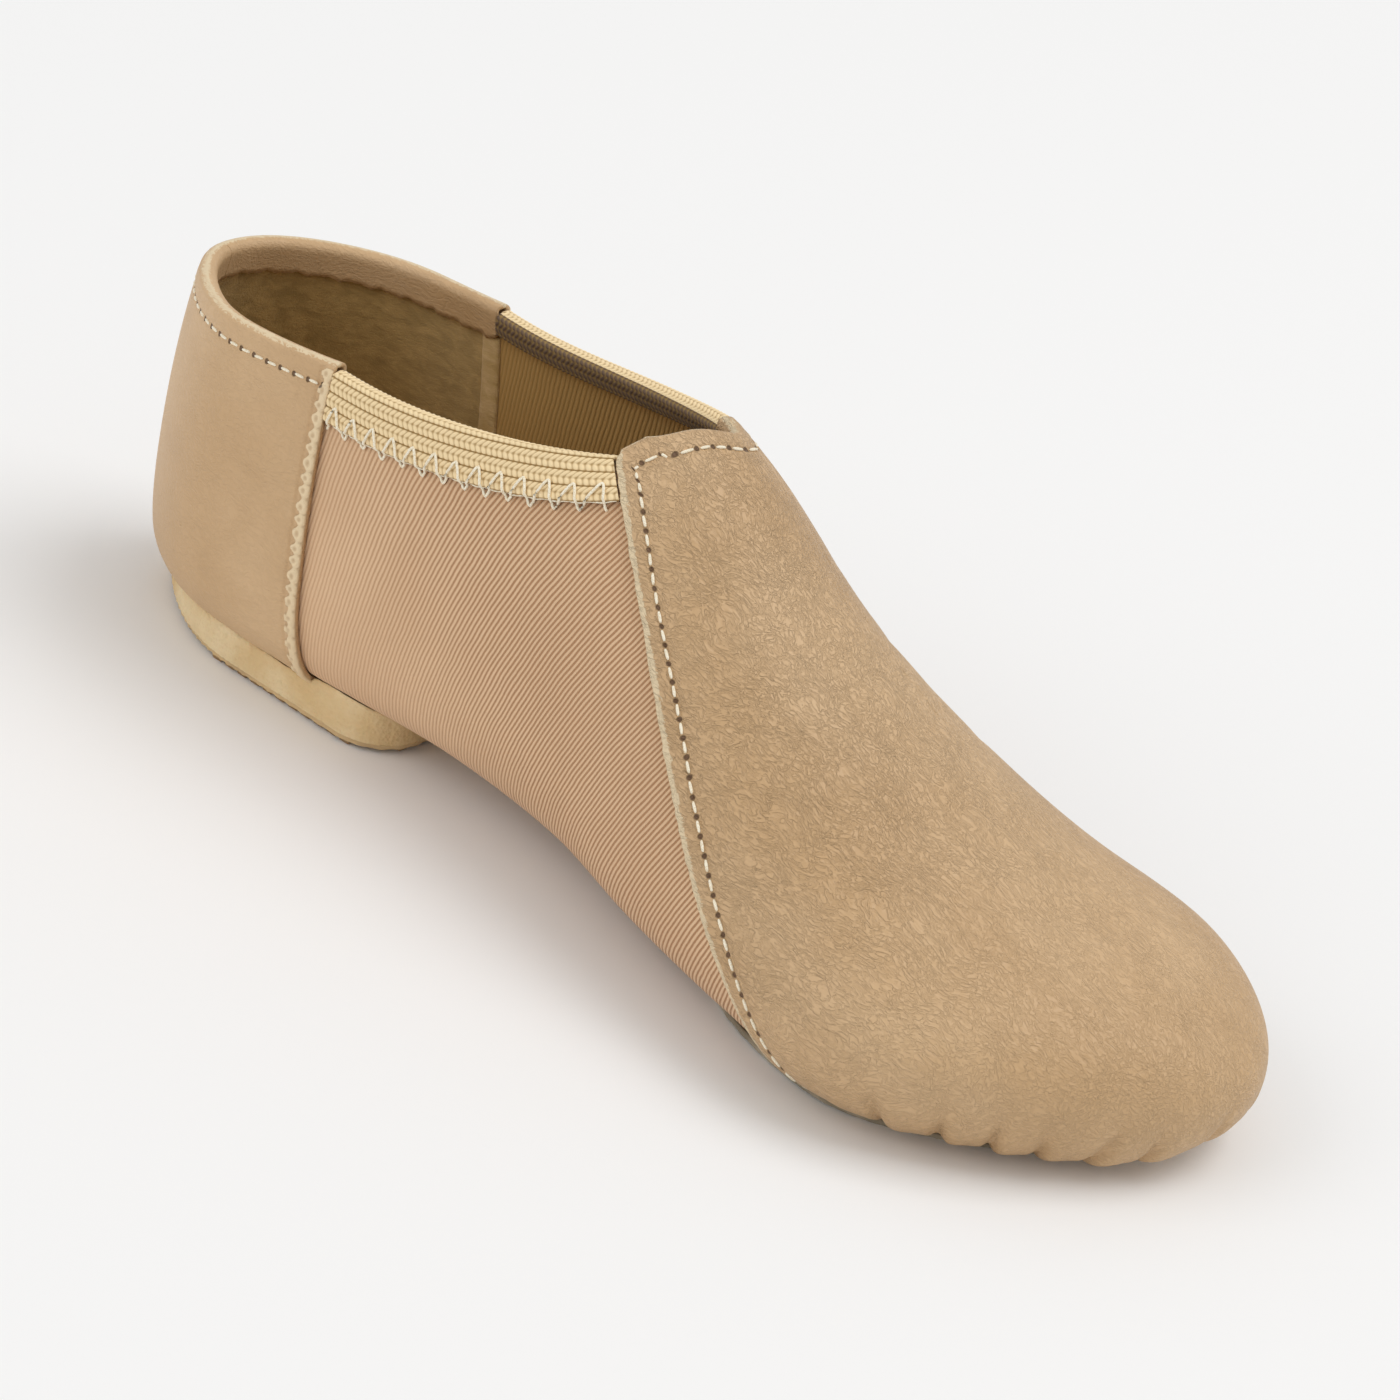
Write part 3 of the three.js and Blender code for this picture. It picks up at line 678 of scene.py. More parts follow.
def sawn_foam(colours):
    """Closed-cell foam cut with a saw: open pores and faint saw lines, quite matt."""
    material, tree, place = new_material("sawn_closed_cell_foam")
    pores = add(tree, "TexVoronoi", {"Vector": place, "Scale": 1400.0})
    drawn = add(tree, "Mapping", {"Vector": place, "Scale": (0.25, 0.25, 2.2)})
    saw = add(tree, "TexNoise", {"Vector": drawn, "Scale": 600.0, "Detail": 3.0})
    broad = add(tree, "TexNoise", {"Vector": place, "Scale": 70.0, "Detail": 3.0})
    cloudy = add(tree, "MapRange", [broad, 0.3, 0.7], **EASED)
    tone = add(tree, "Mix", {0: cloudy, 6: colours.foam, 7: colours.foam_deep}, **COLOUR_MIX)
    # The pores are painted in shade
    pore_shade = add(tree, "MapRange", [pores, 0.1, 0.45, 0.35, 0.0], **EASED)
    tone = add(tree, "Mix", {0: pore_shade, 6: tone, 7: colours.foam_deep}, **COLOUR_MIX)
    height = add(tree, "Math", [saw, 0.8, pores], operation="MULTIPLY_ADD")
    bump = add(tree, "Bump", {"Height": height, "Strength": 0.7, "Distance": 0.00025})
    return finished(material, {
        "Base Color": tone, "Roughness": 0.88, "Normal": bump, "Specular IOR Level": 0.3,
        "Subsurface Weight": 0.06, "Subsurface Scale": 0.001})


def moulded_rubber(colours):
    """Moulded rubber, cream at its sides, browned between the blocks and rubbed paler below."""
    material, tree, place = new_material("moulded_sole_rubber")
    height = add(tree, "SeparateXYZ", [place], 2)
    grit = add(tree, "TexNoise", {"Vector": place, "Scale": 1800.0, "Detail": 3.0})
    broad = add(tree, "TexNoise", {"Vector": place, "Scale": 80.0, "Detail": 3.0})
    unworn = add(tree, "MapRange", [height, 0.0001, 0.0008], **EASED)
    tone = add(tree, "Mix", {0: unworn, 6: colours.rubber_worn, 7: colours.rubber}, **COLOUR_MIX)
    cream = add(tree, "MapRange", [height, 0.0004, 0.001], **EASED)
    tone = add(tree, "Mix", {0: cream, 6: tone, 7: colours.foam_deep}, **COLOUR_MIX)
    dust = add(tree, "MapRange", [broad, 0.35, 0.7, 0.0, 0.5], **EASED)
    tone = add(tree, "Mix", {0: dust, 6: tone, 7: colours.rubber_dust}, **COLOUR_MIX)
    bump = add(tree, "Bump", {"Height": grit, "Strength": 0.5, "Distance": 0.0001})
    return finished(material, {"Base Color": tone, "Roughness": 0.68, "Normal": bump, "IOR": 1.52})


def spun_thread(name, colour, shade):
    """Spun polyester thread: two plies turned about each other, a little glossy."""
    material, tree, place = new_material(name)
    ply = add(tree, "TexNoise", {"Vector": place, "Scale": 4200.0, "Detail": 2.0, "Distortion": 0.5})
    share = add(tree, "MapRange", [ply, 0.3, 0.6], **EASED)
    tone = add(tree, "Mix", {0: share, 6: shade, 7: colour}, **COLOUR_MIX)
    bump = add(tree, "Bump", {"Height": ply, "Strength": 0.6, "Distance": 0.00012})
    return finished(material, {"Base Color": tone, "Roughness": 0.62, "Normal": bump, "Sheen Weight": 0.1})


def matt_floor(colours):
    """A matt painted studio floor, quite plain."""
    material = new_material("matt_studio_floor")[0]
    return finished(material, {"Base Color": colours.floor, "Roughness": 0.9, "Specular IOR Level": 0.1})


# The forepart

FOLD_SHOWN = np.array([
    [HEM, -1.2], [4.4, -1.2], [3.2, -1.2], [2.0, -1.2], [0.9, -1.2], [0, -1.15], [-0.6, -0.85], [-1.0, -0.3],
    [-1.15, 0.4], [-1.1, 1.1], [-0.8, 1.8], [-0.35, 2.25], [0, 2.4],
])
FOLD_HIDDEN = np.array([
    [HEM, -0.35], [4.4, -0.3], [3.2, -0.3], [2.0, -0.3], [0.9, -0.3], [0, -0.3], [-0.2, -0.25], [-0.3, 0],
    [-0.3, 0.5], [-0.3, 1.0], [-0.28, 1.3], [-0.15, 1.45], [0, 1.5],
])
EDGE_ANGLE = np.linspace(0, QUARTER, len(FOLD_SHOWN))
EDGE_SHOWN = np.stack([-0.25 * np.cos(EDGE_ANGLE), 1.95 + 0.45 * np.sin(EDGE_ANGLE)], -1)
EDGE_HIDDEN = np.stack([-0.25 * np.cos(EDGE_ANGLE), 1.95 - 0.45 * np.sin(EDGE_ANGLE)], -1)
NEAR_EDGE = np.array([0.25, 0.5, 0.8, 1.1, 1.5, 1.9, 2.3, 2.6, 2.9, 3.15, 3.4, 3.65, 3.9, 4.2, 4.6, 5.2, 6.0])
# How far the cut edge shows on each row of the fold, where it stands over the lining
FOLD_RAW = np.exp(-(((FOLD_SHOWN[:, 1] - 1.35) / 0.75) ** 2))


def ripple(x, seed):
    """An uneven line: three sines whose waves never meet."""
    slow = np.sin(1.7 * x + seed) + 0.6 * np.sin(3.1 * x + 2.3 * seed)
    return (slow + 0.4 * np.sin(6.3 * x + 4.1 * seed)) / 2


def vamp_turns():
    """Turns round the forepart from underneath, with one on each top corner, and which fold over."""
    corner = float(turn_at((VAMP_TOP - HEEL_X) / LAST_LENGTH, COLLAR_VAMP + 0.3))
    full = 2 * math.pi
    parts = [(0, 0.6, 12), (0.6, corner, 112), (corner, full - corner, 130),
             (full - corner, full - 0.6, 112), (full - 0.6, full, 12)]
    turns = np.concatenate([np.linspace(a, b, n, endpoint=False) for a, b, n in parts])
    folded = [smooth(turned, corner - 0.02, corner + 0.005) for turned in (turns, full - turns)]
    return turns, folded[0] * folded[1]


def forepart_lines(turns, forward):
    """The vamp's rear edge and its edge along the collar, each drawn on past their corner.

    For each line: the share at which every turn crosses it, how many millimetres square to it a
    whole share goes, and how far along it that slants. Last, the distance along both as one edge.
    """
    offset = np.full(len(turns), 2.0)
    lines = []
    for beyond in (lambda p: p[:, 0] - vamp_x(p[:, 2]) - forward, lambda p: vamp_collar(p) - p[:, 2]):
        share = crossing(lambda share: beyond(skin(share, turns, offset)) <= 0,
                         np.full(len(turns), 0.3), np.full(len(turns), 0.999))
        place = skin(share, turns, offset)
        step = (skin(share + 1e-3, turns, offset) - place) / 1e-3
        tangent = unit(np.roll(place, -1, 0) - np.roll(place, 1, 0))
        square = np.linalg.norm(np.cross(tangent, step), axis=-1)
        square = np.maximum(square, 0.15 * np.linalg.norm(step, axis=-1))
        lines.append((share, square, np.sum(tangent * step, -1) / square))
    edge = skin(rounded_corner(lines[0][0], lines[1][0])[0], turns, offset)
    return lines, lengths(np.concatenate([edge, edge[:1]]))[:-1]


def rounded_corner(a, b):
    """The greater of two shares, eased over where they cross, and how far the second one leads."""
    near = np.clip(1 - np.abs(a - b) / CORNER_EASE, 0, 1)
    return np.maximum(a, b) + near ** 2 * CORNER_EASE / 4, smooth(b - a, -CORNER_EASE, CORNER_EASE)


def inset(lines, gone, inward):
    """Shares at some distance in from both lines, and the distance gone along the edge there."""
    (a, square_a, slant_a), (b, square_b, slant_b) = lines
    share, collar = rounded_corner(a + inward / square_a, b + inward / square_b)
    return share, gone + inward * (slant_a + (slant_b - slant_a) * collar)


# Place along the toe's outline from its tip, depth, half width and height of each lasting pleat
PLEATS = (
    (-84, 0.5, 1.5, 9), (-73, 0.7, 1.4, 10), (-63, 0.8, 1.6, 12), (-53, 1.0, 1.5, 13),
    (-43.5, 1.0, 1.6, 13), (-34.5, 1.1, 1.5, 14), (-26, 1.0, 1.5, 13), (-17, 1.2, 1.6, 14),
    (-8.5, 1.1, 1.4, 13), (0.5, 1.2, 1.5, 14), (9, 1.1, 1.5, 13), (18, 1.0, 1.6, 14),
    (27.5, 1.1, 1.5, 13), (37, 1.0, 1.5, 12), (47, 0.9, 1.6, 12), (57, 0.7, 1.5, 11),
    (68, 0.5, 1.5, 9),
)
# Middle x and y, heading, length, half width and depth of each crease over the flex line
CREASES = (
    (112, -34, 1.9, 30, 1.6, 0.35), (118, -30, 2.1, 34, 1.8, 0.4), (125, -26, 1.75, 26, 1.5, 0.3),
    (104, -20, 2.2, 26, 1.7, 0.3), (131, -12, 1.5, 28, 1.7, 0.3), (121, 4, 1.65, 34, 1.9, 0.35),
    (128, 22, 1.4, 26, 1.6, 0.3), (113, 28, 1.3, 30, 1.8, 0.35), (100, 12, 1.9, 24, 1.6, 0.25),
)


def pleat_relief(p):
    """Troughs that fan from the patch up over the toe's lower rim and die out with height."""
    ahead, aside = p[..., 0] - TOE_CENTRE[0], p[..., 1] - TOE_CENTRE[1]
    gone = np.where(ahead > 0, np.arctan2(aside, ahead) * TOE_RADIUS,
                    np.sign(aside) * (TOE_RADIUS * QUARTER - ahead))
    relief = np.zeros(gone.shape)
    for place, depth, width, height in PLEATS:
        lean = place + 0.12 * (p[..., 2] - 4) * np.sin(place)
        fade = 1 - smooth(p[..., 2], 0.35 * height, 1.25 * height)
        relief += fade * depth * (0.5 * hump(gone - lean - 2.6, 2.4) - 1.3 * hump(gone - lean, width * 0.65))
    return relief


def crease_relief(p):
    """Short soft troughs laid over the flex line, each straight with tapered ends."""
    relief = np.zeros(p.shape[:-1])
    for x, y, heading, length, width, depth in CREASES:
        along_it = (p[..., 0] - x) * math.cos(heading) + (p[..., 1] - y) * math.sin(heading)
        aside = (p[..., 1] - y) * math.cos(heading) - (p[..., 0] - x) * math.sin(heading)
        aside = aside + 0.6 * np.sin(along_it * 0.35)
        relief -= depth * hump(aside, width) * hump(along_it, length / 2)
    return relief * smooth(p[..., 2], 10, 18)


def forepart(name, shown_path, hidden_path, forward, relief):
    """A cup over the toe: rows of fold or edge, then rows that close in on the toe's tip."""
    turns, folded = vamp_turns()
    lines, gone = forepart_lines(turns, forward)
    grids, cloths = [], []
    for fold, edge, near, count, face in (shown_path, hidden_path):
        ragged = 0.2 * ripple(gone * 1.4, 1.0) * (np.abs(edge[:, :1]) < 0.6) * (1 - folded)
        path = folded[None, :, None] * fold[:, None] + (1 - folded)[None, :, None] * edge[:, None]
        inward = np.concatenate([path[..., 0] + ragged, near[:, None] + 0 * turns])
        share, along_it = inset(lines, gone, inward)
        v = np.arange(1, count + 1)[:, None] / count
        share = np.concatenate([share, share[-1] + (1 - share[-1]) * np.sin(v * QUARTER)])
        along_it = np.concatenate([along_it, along_it[-1] + 0 * v])
        offset = np.concatenate([path[..., 1], np.full((len(near) + count, len(turns)), face)])
        from_edge = np.minimum(*((share - border) * square for border, square, _ in lines))
        around = np.broadcast_to(turns, share.shape)
        grid = skin(share, around, offset)
        if relief and face > SKIN:
            outside = (np.arange(len(share)) >= len(fold))[:, None]
            risen = relief(grid, from_edge, along_it) * outside
            grid = grid + last_normal(share, around) * risen[..., None]
        mark = -(1 - smooth(from_edge + 0.3 * ripple(gone, 2.0), 0.5, 1.4)) * (1 - folded)
        mark[:len(fold)] -= FOLD_RAW[:, None] * folded
        # The hem inside the collar counts as far off the edge, so that no stitch holes show on it
        from_edge = np.clip(from_edge, -2, 60)
        from_edge[:len(fold)] -= 9 * folded * (fold[:, 1:] < 0)
        grids.append(grid)
        cloths.append(np.stack([along_it, from_edge, mark], -1))
    return closed_cup(name, *grids, *cloths)


def vamp_relief(p, from_edge, gone):
    """The channel that the stitches pull, the puffed band beside it, creases and pleats."""
    channel = 0.1 * hump(from_edge - 1.6, 1.0) - 0.24 * hump(from_edge - STITCH_INSET, 0.65)
    pucker = 0.06 * hump(from_edge - STITCH_INSET, 2.2) * np.cos(gone * 2 * math.pi / STITCH_PITCH)
    inner = smooth(from_edge, 7, 14)
    return channel + pucker + inner * (crease_relief(p) + pleat_relief(p))


# The heel

# A quarter's columns go round the back, about ARC_LENGTH over their first ARC_PART, then forward to
# the seam. Under LEVEL_Z its rows tuck in under the foot, TUCK millimetres long
HEEL_CENTRE_X = HEEL_X + 30
ARC_PART = 0.62
ARC_LENGTH = 44
LEVEL_Z = 26
TUCK = 24


def heel_point(q, h, back):
    """A point of the last's heel: q runs -1 to 1 from seam to seam round the back, h is a height.

    Rays fan out round the back and stand square to the foot further forward; under LEVEL_Z they
    tilt down instead of moving down. The seam side ends some way behind the seam line.
    """
    side = np.where(q < 0, OUTER, INNER)
    amount = np.abs(q)
    bend = np.clip(amount / ARC_PART, 0, 1) * QUARTER
    tilt = np.clip(LEVEL_Z - h, 0, None) / TUCK
    z = np.maximum(h, LEVEL_Z)
    seam = np.where(q < 0, seam_x(h, OUTER), seam_x(h, INNER)) - back
    forward = np.clip((amount - ARC_PART) / (1 - ARC_PART), 0, 1)
    origins = np.stack([HEEL_CENTRE_X + (seam - HEEL_CENTRE_X) * forward, 0 * z, z], -1)
    across = side * np.where(amount < ARC_PART, np.sin(bend), 1)
    away = np.where(amount < ARC_PART, -np.cos(bend), 0)
    directions = np.stack([away * np.cos(tilt), across * np.cos(tilt), -np.sin(tilt)], -1)
    return cast(origins, directions)


def heel_skin(q, h, offset, back=0.0):
    """The heel grown by an offset along its normal, found from four neighbouring rays."""
    place = heel_point(q, h, back)
    up = heel_point(q, h + 0.4, back) - heel_point(q, h - 0.4, back)
    q_low, q_high = np.maximum(q - 0.006, -1), np.minimum(q + 0.006, 1)
    round_ = heel_point(q_high, h, back) - heel_point(q_low, h, back)
    normal = unit(np.cross(up, round_))
    away = place - np.array([HEEL_CENTRE_X + 10, 0, 30])
    normal = normal * np.sign(np.sum(normal * away, -1, keepdims=True))
    return place + normal * offset[..., None], normal


def heel_rim(q):
    """The collar's height over each column round the heel."""
    x = heel_point(q, np.full(len(q), COLLAR_BACK), 0.0)[:, 0]
    return np.where(q < 0, quarter_collar(x, OUTER), quarter_collar(x, INNER))


def quarter_columns(side):
    """Columns from the centre back to the seam, closer together beside both."""
    length = SEAM_TOP - HEEL_CENTRE_X
    near = 1 - np.array([4.2, 3.7, *np.arange(3.3, 0, -0.2), 0]) / length * (1 - ARC_PART)
    back = np.array([0, 0.1, 0.25, 0.4, 0.6, 0.8, 1.1, 1.5]) / ARC_LENGTH * ARC_PART + 1e-4
    return side * np.concatenate([back, np.linspace(back[-1], near[0], 110)[1:-1], near])


def quarter_relief(q, drop):
    """The overcast ridge along the seam, the collar's stitch channel, the back groove, faint folds.

    The ridge is a round roll with a row of thread loops behind it, each a ring about a small dip.
    Returns the relief and the mark: how far a place is covered with thread, less in the dips, where the
    material paints the thread in shade.
    """
    length = SEAM_TOP - HEEL_CENTRE_X
    ahead = (1 - np.abs(q)) / (1 - ARC_PART) * length
    nearest = (drop + 0.25 * np.sin(drop * 0.9)) % LOOP_PITCH - LOOP_PITCH / 2
    reach = np.hypot((ahead - 1.1) / 1.3, nearest / (0.56 * LOOP_PITCH))
    dome = np.sqrt(np.clip(1 - reach ** 2, 0, 1))
    ring = hump(reach - 0.72, 0.26)
    scallop = RIDGE_WIDTH * (0.78 + 0.22 * np.cos(nearest * 2 * math.pi / LOOP_PITCH))
    covered = 1 - smooth(ahead, scallop - 0.3, scallop + 0.15)
    roll = covered * (0.15 + 0.42 * dome + 0.1 * ring - 0.1 * hump(reach, 0.35))
    roll = roll - 0.15 * covered * smooth(0.4 - ahead, 0, 0.4)
    nick = 0.25 * hump(ahead - RIDGE_WIDTH - 0.15, 0.45) * (1 - covered)
    channel = (0.1 * hump(drop - 1.6, 1.0) - 0.22 * hump(drop - STITCH_INSET, 0.65)) * (1 - covered)
    behind = np.abs(q) / ARC_PART * ARC_LENGTH
    groove = 0.22 * hump(behind - 1.6, 0.9) - 0.45 * hump(behind, 0.7)
    folds = 0.14 * np.sin(drop * 0.8 + 1.2 * ahead * 0.25) * hump(ahead - 8, 5) * smooth(drop, 6, 14)
    # The mark drops in the dips and between the loops, where the thread is painted in shade
    mark = covered * np.clip(0.55 + 0.45 * ring + 0.2 * dome - 0.12 * hump(reach, 0.3), 0, 1)
    return roll - nick + channel + groove + folds, mark


def heel_sheet(name, side):
    """One leather quarter: its hem inside, over the collar, down the outside and under the foot."""
    q = quarter_columns(side)
    rim = heel_rim(q)
    gone = lengths(heel_skin(q, rim, np.full(len(q), 2.0))[0])
    hem_wave = 0.5 * ripple(gone * 0.6, 2.0)
    span = rim - NEAR_EDGE[-1]
    lower = span - np.linspace(0, 1, 150)[1:, None] * (span - LEVEL_Z)
    tucked = LEVEL_Z - np.linspace(0, TUCK, 34)[1:, None] + 0 * rim
    grids, cloths = [], []
    for fold, face in ((FOLD_SHOWN, SKIN + LEATHER), (FOLD_HIDDEN, SKIN)):
        rows = len(fold)
        drop = np.concatenate([fold[:, 0], NEAR_EDGE])
        h = np.concatenate([rim - drop[:, None], lower, tucked])
        h[0] += hem_wave
        h[1] += 0.6 * hem_wave
        offset = np.full(h.shape, face)
        offset[:rows] = fold[:, 1:]
        columns = np.broadcast_to(q, h.shape)
        grid, normal = heel_skin(columns, h, offset)
        below = rim - h
        relief, mark = quarter_relief(columns, below)
        shown = (np.arange(len(h)) >= rows)[:, None] * (face > SKIN)
        grid = grid + normal * (relief * shown)[..., None]
        grid[..., 1] += side * 0.06
        mark = mark * shown
        mark[:rows] -= FOLD_RAW[:, None]
        below[:rows] -= 9 * (fold[:, 1:] < 0)
        grids.append(grid)
        cloths.append(np.stack([np.broadcast_to(gone, h.shape), below, mark], -1))
    return closed_sheet(name, *grids, *cloths)


def heel_lining():
    """The napped lining round the heel, from the collar down under the footbed's edge."""
    q = np.concatenate([np.linspace(-1, -0.12, 60), np.linspace(-0.1, 0.1, 21), np.linspace(0.12, 1, 60)])
    rim = heel_rim(q)
    upper = rim - np.linspace(0, 1, 50)[:, None] * (rim - LEVEL_Z)
    tucked = LEVEL_Z - np.linspace(0, 27, 30)[1:, None] + 0 * rim[None]
    h = np.concatenate([upper, tucked])
    columns = np.broadcast_to(q, h.shape)
    faces = [heel_skin(columns, h, np.full(h.shape, offset), 2.1)[0] for offset in (0.0, WALL)]
    return closed_sheet("heel_lining", *faces)


# Side panels


def collar_turn(share, w):
    """The turn of the elastic's collar line, held past the vamp's corner, where leather covers it."""
    share = np.minimum(share, (VAMP_TOP - HEEL_X) / LAST_LENGTH)
    x = HEEL_X + share * LAST_LENGTH
    return turn_at(share, np.where(w < 0, elastic_collar(x, OUTER), elastic_collar(x, INNER)))


def side_patch(w, columns, rear, front, offset):
    """A patch of the last between two leaning lines, w running -1 to 1 from collar to collar."""
    def behind(limit, share):
        p = last_point(share, w * collar_turn(share, w))
        return p[:, 0] <= limit(p[:, 2], np.sign(w))

    ends = [crossing(lambda share: behind(limit, share), np.full(len(w), 0.12), np.full(len(w), 0.92))
            for limit in (rear, front)]
    share = ends[0][:, None] + (ends[1] - ends[0])[:, None] * np.linspace(0, 1, columns)[None]
    turn = w[:, None] * collar_turn(share, w[:, None])
    return share, turn, skin(share, turn, np.full(share.shape, offset))


def seam_both(shift):
    return lambda z, side: np.where(side < 0, seam_x(z, OUTER), seam_x(z, INNER)) + shift


def vamp_both(shift):
    return lambda z, side: vamp_x(z) + shift


def gore_sheet():
    """Both gores and the arch between them as one sling of twill, from collar under to collar."""
    w = np.linspace(-1, 1, 281)
    faces, cloths = [], []
    for offset, mark in ((WALL, [0, 0, 0]), (0.0, [0, 0, 1])):
        grid = side_patch(w, 110, seam_both(-2.0), vamp_both(3.0), offset)[2]
        faces.append(grid)
        cloths.append(0 * grid + mark)
    return closed_sheet("gores_and_arch", *faces, *cloths)


def seam_strip(name, side):
    """The taped seam inside, a soft raised strip where heel lining and gore join."""
    w = side * np.linspace(0.25, 0.97, 100)
    share, turn, grid = side_patch(w, 13, seam_both(-4.6), seam_both(0.2), 0.0)
    bulge = 0.25 + 0.75 * np.sqrt(1 - np.linspace(-1, 1, 13) ** 2)
    height = 0.75 * (bulge + 0.12 * ripple(grid[..., 2], 1.0))
    return closed_sheet(name, skin(share, turn, -height), skin(share, turn, np.full(share.shape, -0.02)))


def collar_path(share, up, offset, side):
    """A point over the elastic's collar line, some way up past it and out from the last."""
    x = HEEL_X + share * LAST_LENGTH
    high = turn_at(share, elastic_collar(x, side))
    step = last_point(share, side * (high + 1e-3)) - last_point(share, side * high)
    speed = np.linalg.norm(step, axis=-1) / 1e-3
    return skin(share, side * (high + up / speed), offset)


def knit_relief(along_it, across):
    """Knitted stitches: slanted crowns in rows along the elastic, with gaps between, 0 to 1."""
    wale = across / 1.3
    aside = (wale % 1) * 2 - 1
    phase = along_it / 1.05 + 0.42 * aside * np.where(wale % 2 < 1, 1, -1)
    crown = 0.5 + 0.5 * np.cos(2 * math.pi * phase)
    return (0.35 + 0.65 * crown ** 0.7) * np.sqrt(np.clip(1 - np.abs(aside) ** 2.4, 0, 1))


def collar_ends(up, offset, side, rear, front):
    """The shares at which rows beside the elastic's collar line meet the side seam and the vamp."""
    def behind(limit, share):
        p = collar_path(share, np.minimum(up, 0.2), offset, side)
        return p[:, 0] <= limit(p[:, 2])

    limits = (lambda z: seam_x(z, side) + rear, lambda z: vamp_x(z) - front)
    return [crossing(lambda share: behind(limit, share), np.full(len(up), 0.15), np.full(len(up), 0.6))
            for limit in limits]


def binding_sheet(name, side):
    """Knitted elastic folded over the gore's edge: up outside, over the top and down inside."""
    outside = np.linspace(-ELASTIC_WIDTH - 0.6, 0.2, 40)
    angle = np.linspace(0, math.pi, 18)[1:-1]
    inside = np.linspace(0.2, -2.6, 12)
    up = np.concatenate([outside, 0.2 + 1.25 * np.sin(angle), inside])
    offset = np.concatenate([0 * outside + 2.7, 0.6 + 2.1 * np.cos(angle), 0 * inside - 1.5])
    up_under = np.concatenate([outside, 0.2 + 0.15 * np.sin(angle), inside])
    offset_under = np.concatenate([0 * outside + 1.5, 0.6 + 0.9 * np.cos(angle), 0 * inside - 0.3])
    start, end = (limit[:, None] for limit in collar_ends(up, offset, side, 0.2, 0.15))
    share = start + (end - start) * np.linspace(0, 1, 300)
    shown, hidden = (collar_path(share, a[:, None] + 0 * share, b[:, None] + 0 * share, side)
                     for a, b in ((up, offset), (up_under, offset_under)))
    along_it = (share - share[:1, :1]) * LAST_LENGTH
    relief = knit_relief(along_it, lengths(np.stack([up, offset], -1))[:, None])
    shown = shown + unit(hidden - shown) * (0.38 * (1 - relief) - 0.06)[..., None]
    # Rows inside the shoe are marked, and the elastic's material paints them in shade
    mark = np.where(np.arange(len(up)) > len(outside) + 9, -3.0, 3.0)[:, None] + 0 * share
    return closed_sheet(name, shown, hidden, np.stack([along_it, mark, relief], -1))


# Soles


def under_height(x, y):
    """The last's underside over a plan point."""
    share = np.clip((x - HEEL_X) / LAST_LENGTH, 0.0005, 0.9995)
    aside = y - line("middle", share)
    half = np.where(aside < 0, line("outer", share), line("inner", share)) * end_share(share, "plan")
    flat = line("flat", share)
    bend = np.clip((np.abs(aside) / np.maximum(half, 1e-6) - flat) / (1 - flat), 0, 0.98)
    return (line("under", share) + line("bulge", share)
            - line("bulge", share) * end_share(share, "under") * np.sqrt(1 - bend ** 2))


def underside(x, y, offset):
    """The height over a plan point of the underside moved out by an offset along its normal."""
    at_x, at_y = x, y
    for _ in range(4):
        slope_x = (under_height(at_x + 0.2, at_y) - under_height(at_x - 0.2, at_y)) / 0.4
        slope_y = (under_height(at_x, at_y + 0.2) - under_height(at_x, at_y - 0.2)) / 0.4
        size = np.sqrt(1 + slope_x ** 2 + slope_y ** 2)
        at_x, at_y = x - offset * slope_x / size, y - offset * slope_y / size
    return under_height(at_x, at_y) - offset / size


def in_footprint(x, y, margin):
    share = (x - HEEL_X - margin) / (LAST_LENGTH - 2 * margin)
    held = np.clip(share, 0, 1)
    aside = y - line("middle", held)
    half = np.where(aside < 0, line("outer", held), line("inner", held)) - margin
    return (share > 0) & (share < 1) & (np.abs(aside) < half * end_share(held, "plan"))


def in_pad(x, y):
    """The heel pad's plan: the footprint cut straight across in front, with round corners."""
    front = HEEL_X + PAD_MARGIN + PAD_LENGTH
    share = (PAD_MARGIN + PAD_LENGTH) / LAST_LENGTH
    middle = line("middle", share)
    side = np.where(y < 0, line("outer", share) - middle, line("inner", share) + middle) - PAD_MARGIN
    past_x = np.maximum(x - (front - PAD_CORNER), 0)
    past_y = np.maximum(np.abs(y) - (side - PAD_CORNER), 0)
    corner = (past_x == 0) & (past_y < PAD_CORNER) | (np.hypot(past_x, past_y) < PAD_CORNER)
    return in_footprint(x, y, PAD_MARGIN) & corner & (x < front)


def in_patch(x, y):
    """The forefoot patch's plan: the footprint closed behind by half an ellipse."""
    rear = HEEL_X + LAST_LENGTH - PATCH_MARGIN - PATCH_LENGTH
    middle = line("middle", 1 - (PATCH_MARGIN + PATCH_LENGTH / 2) / LAST_LENGTH)
    back = np.minimum((x - rear - PATCH_REAR_ROUND) / PATCH_REAR_ROUND, 0)
    held = back ** 2 + ((y - middle) / (PATCH_WIDTH / 2)) ** 2 < 1
    return in_footprint(x, y, PATCH_MARGIN) & held


def outline(region, centre, count):
    """The edge of a plan region that its centre sees whole, found along rays."""
    angle = np.arange(count) * 2 * math.pi / count
    rays = np.stack([np.cos(angle), np.sin(angle)], -1)
    reach = crossing(lambda t: region(*(centre + t[:, None] * rays).T),
                     np.zeros(count), np.full(count, 130.0))
    return reach[:, None] * rays


def sole_rings(region, centre, count, steps, wall):
    """A slab's outline, the scales and rises of its rings, and its angles.

    The rings go out from the middle along the bottom, up the wall and back in along the top.
    """
    out = np.sin(np.linspace(0.03, 1, steps) * QUARTER)
    scales = np.concatenate([out, np.ones(wall), out[::-1]])
    rise = np.concatenate([np.zeros(steps), np.linspace(0, 1, wall), np.ones(steps)])[:, None]
    return outline(region, centre, count), scales, rise, np.arange(count) * 2 * math.pi / count


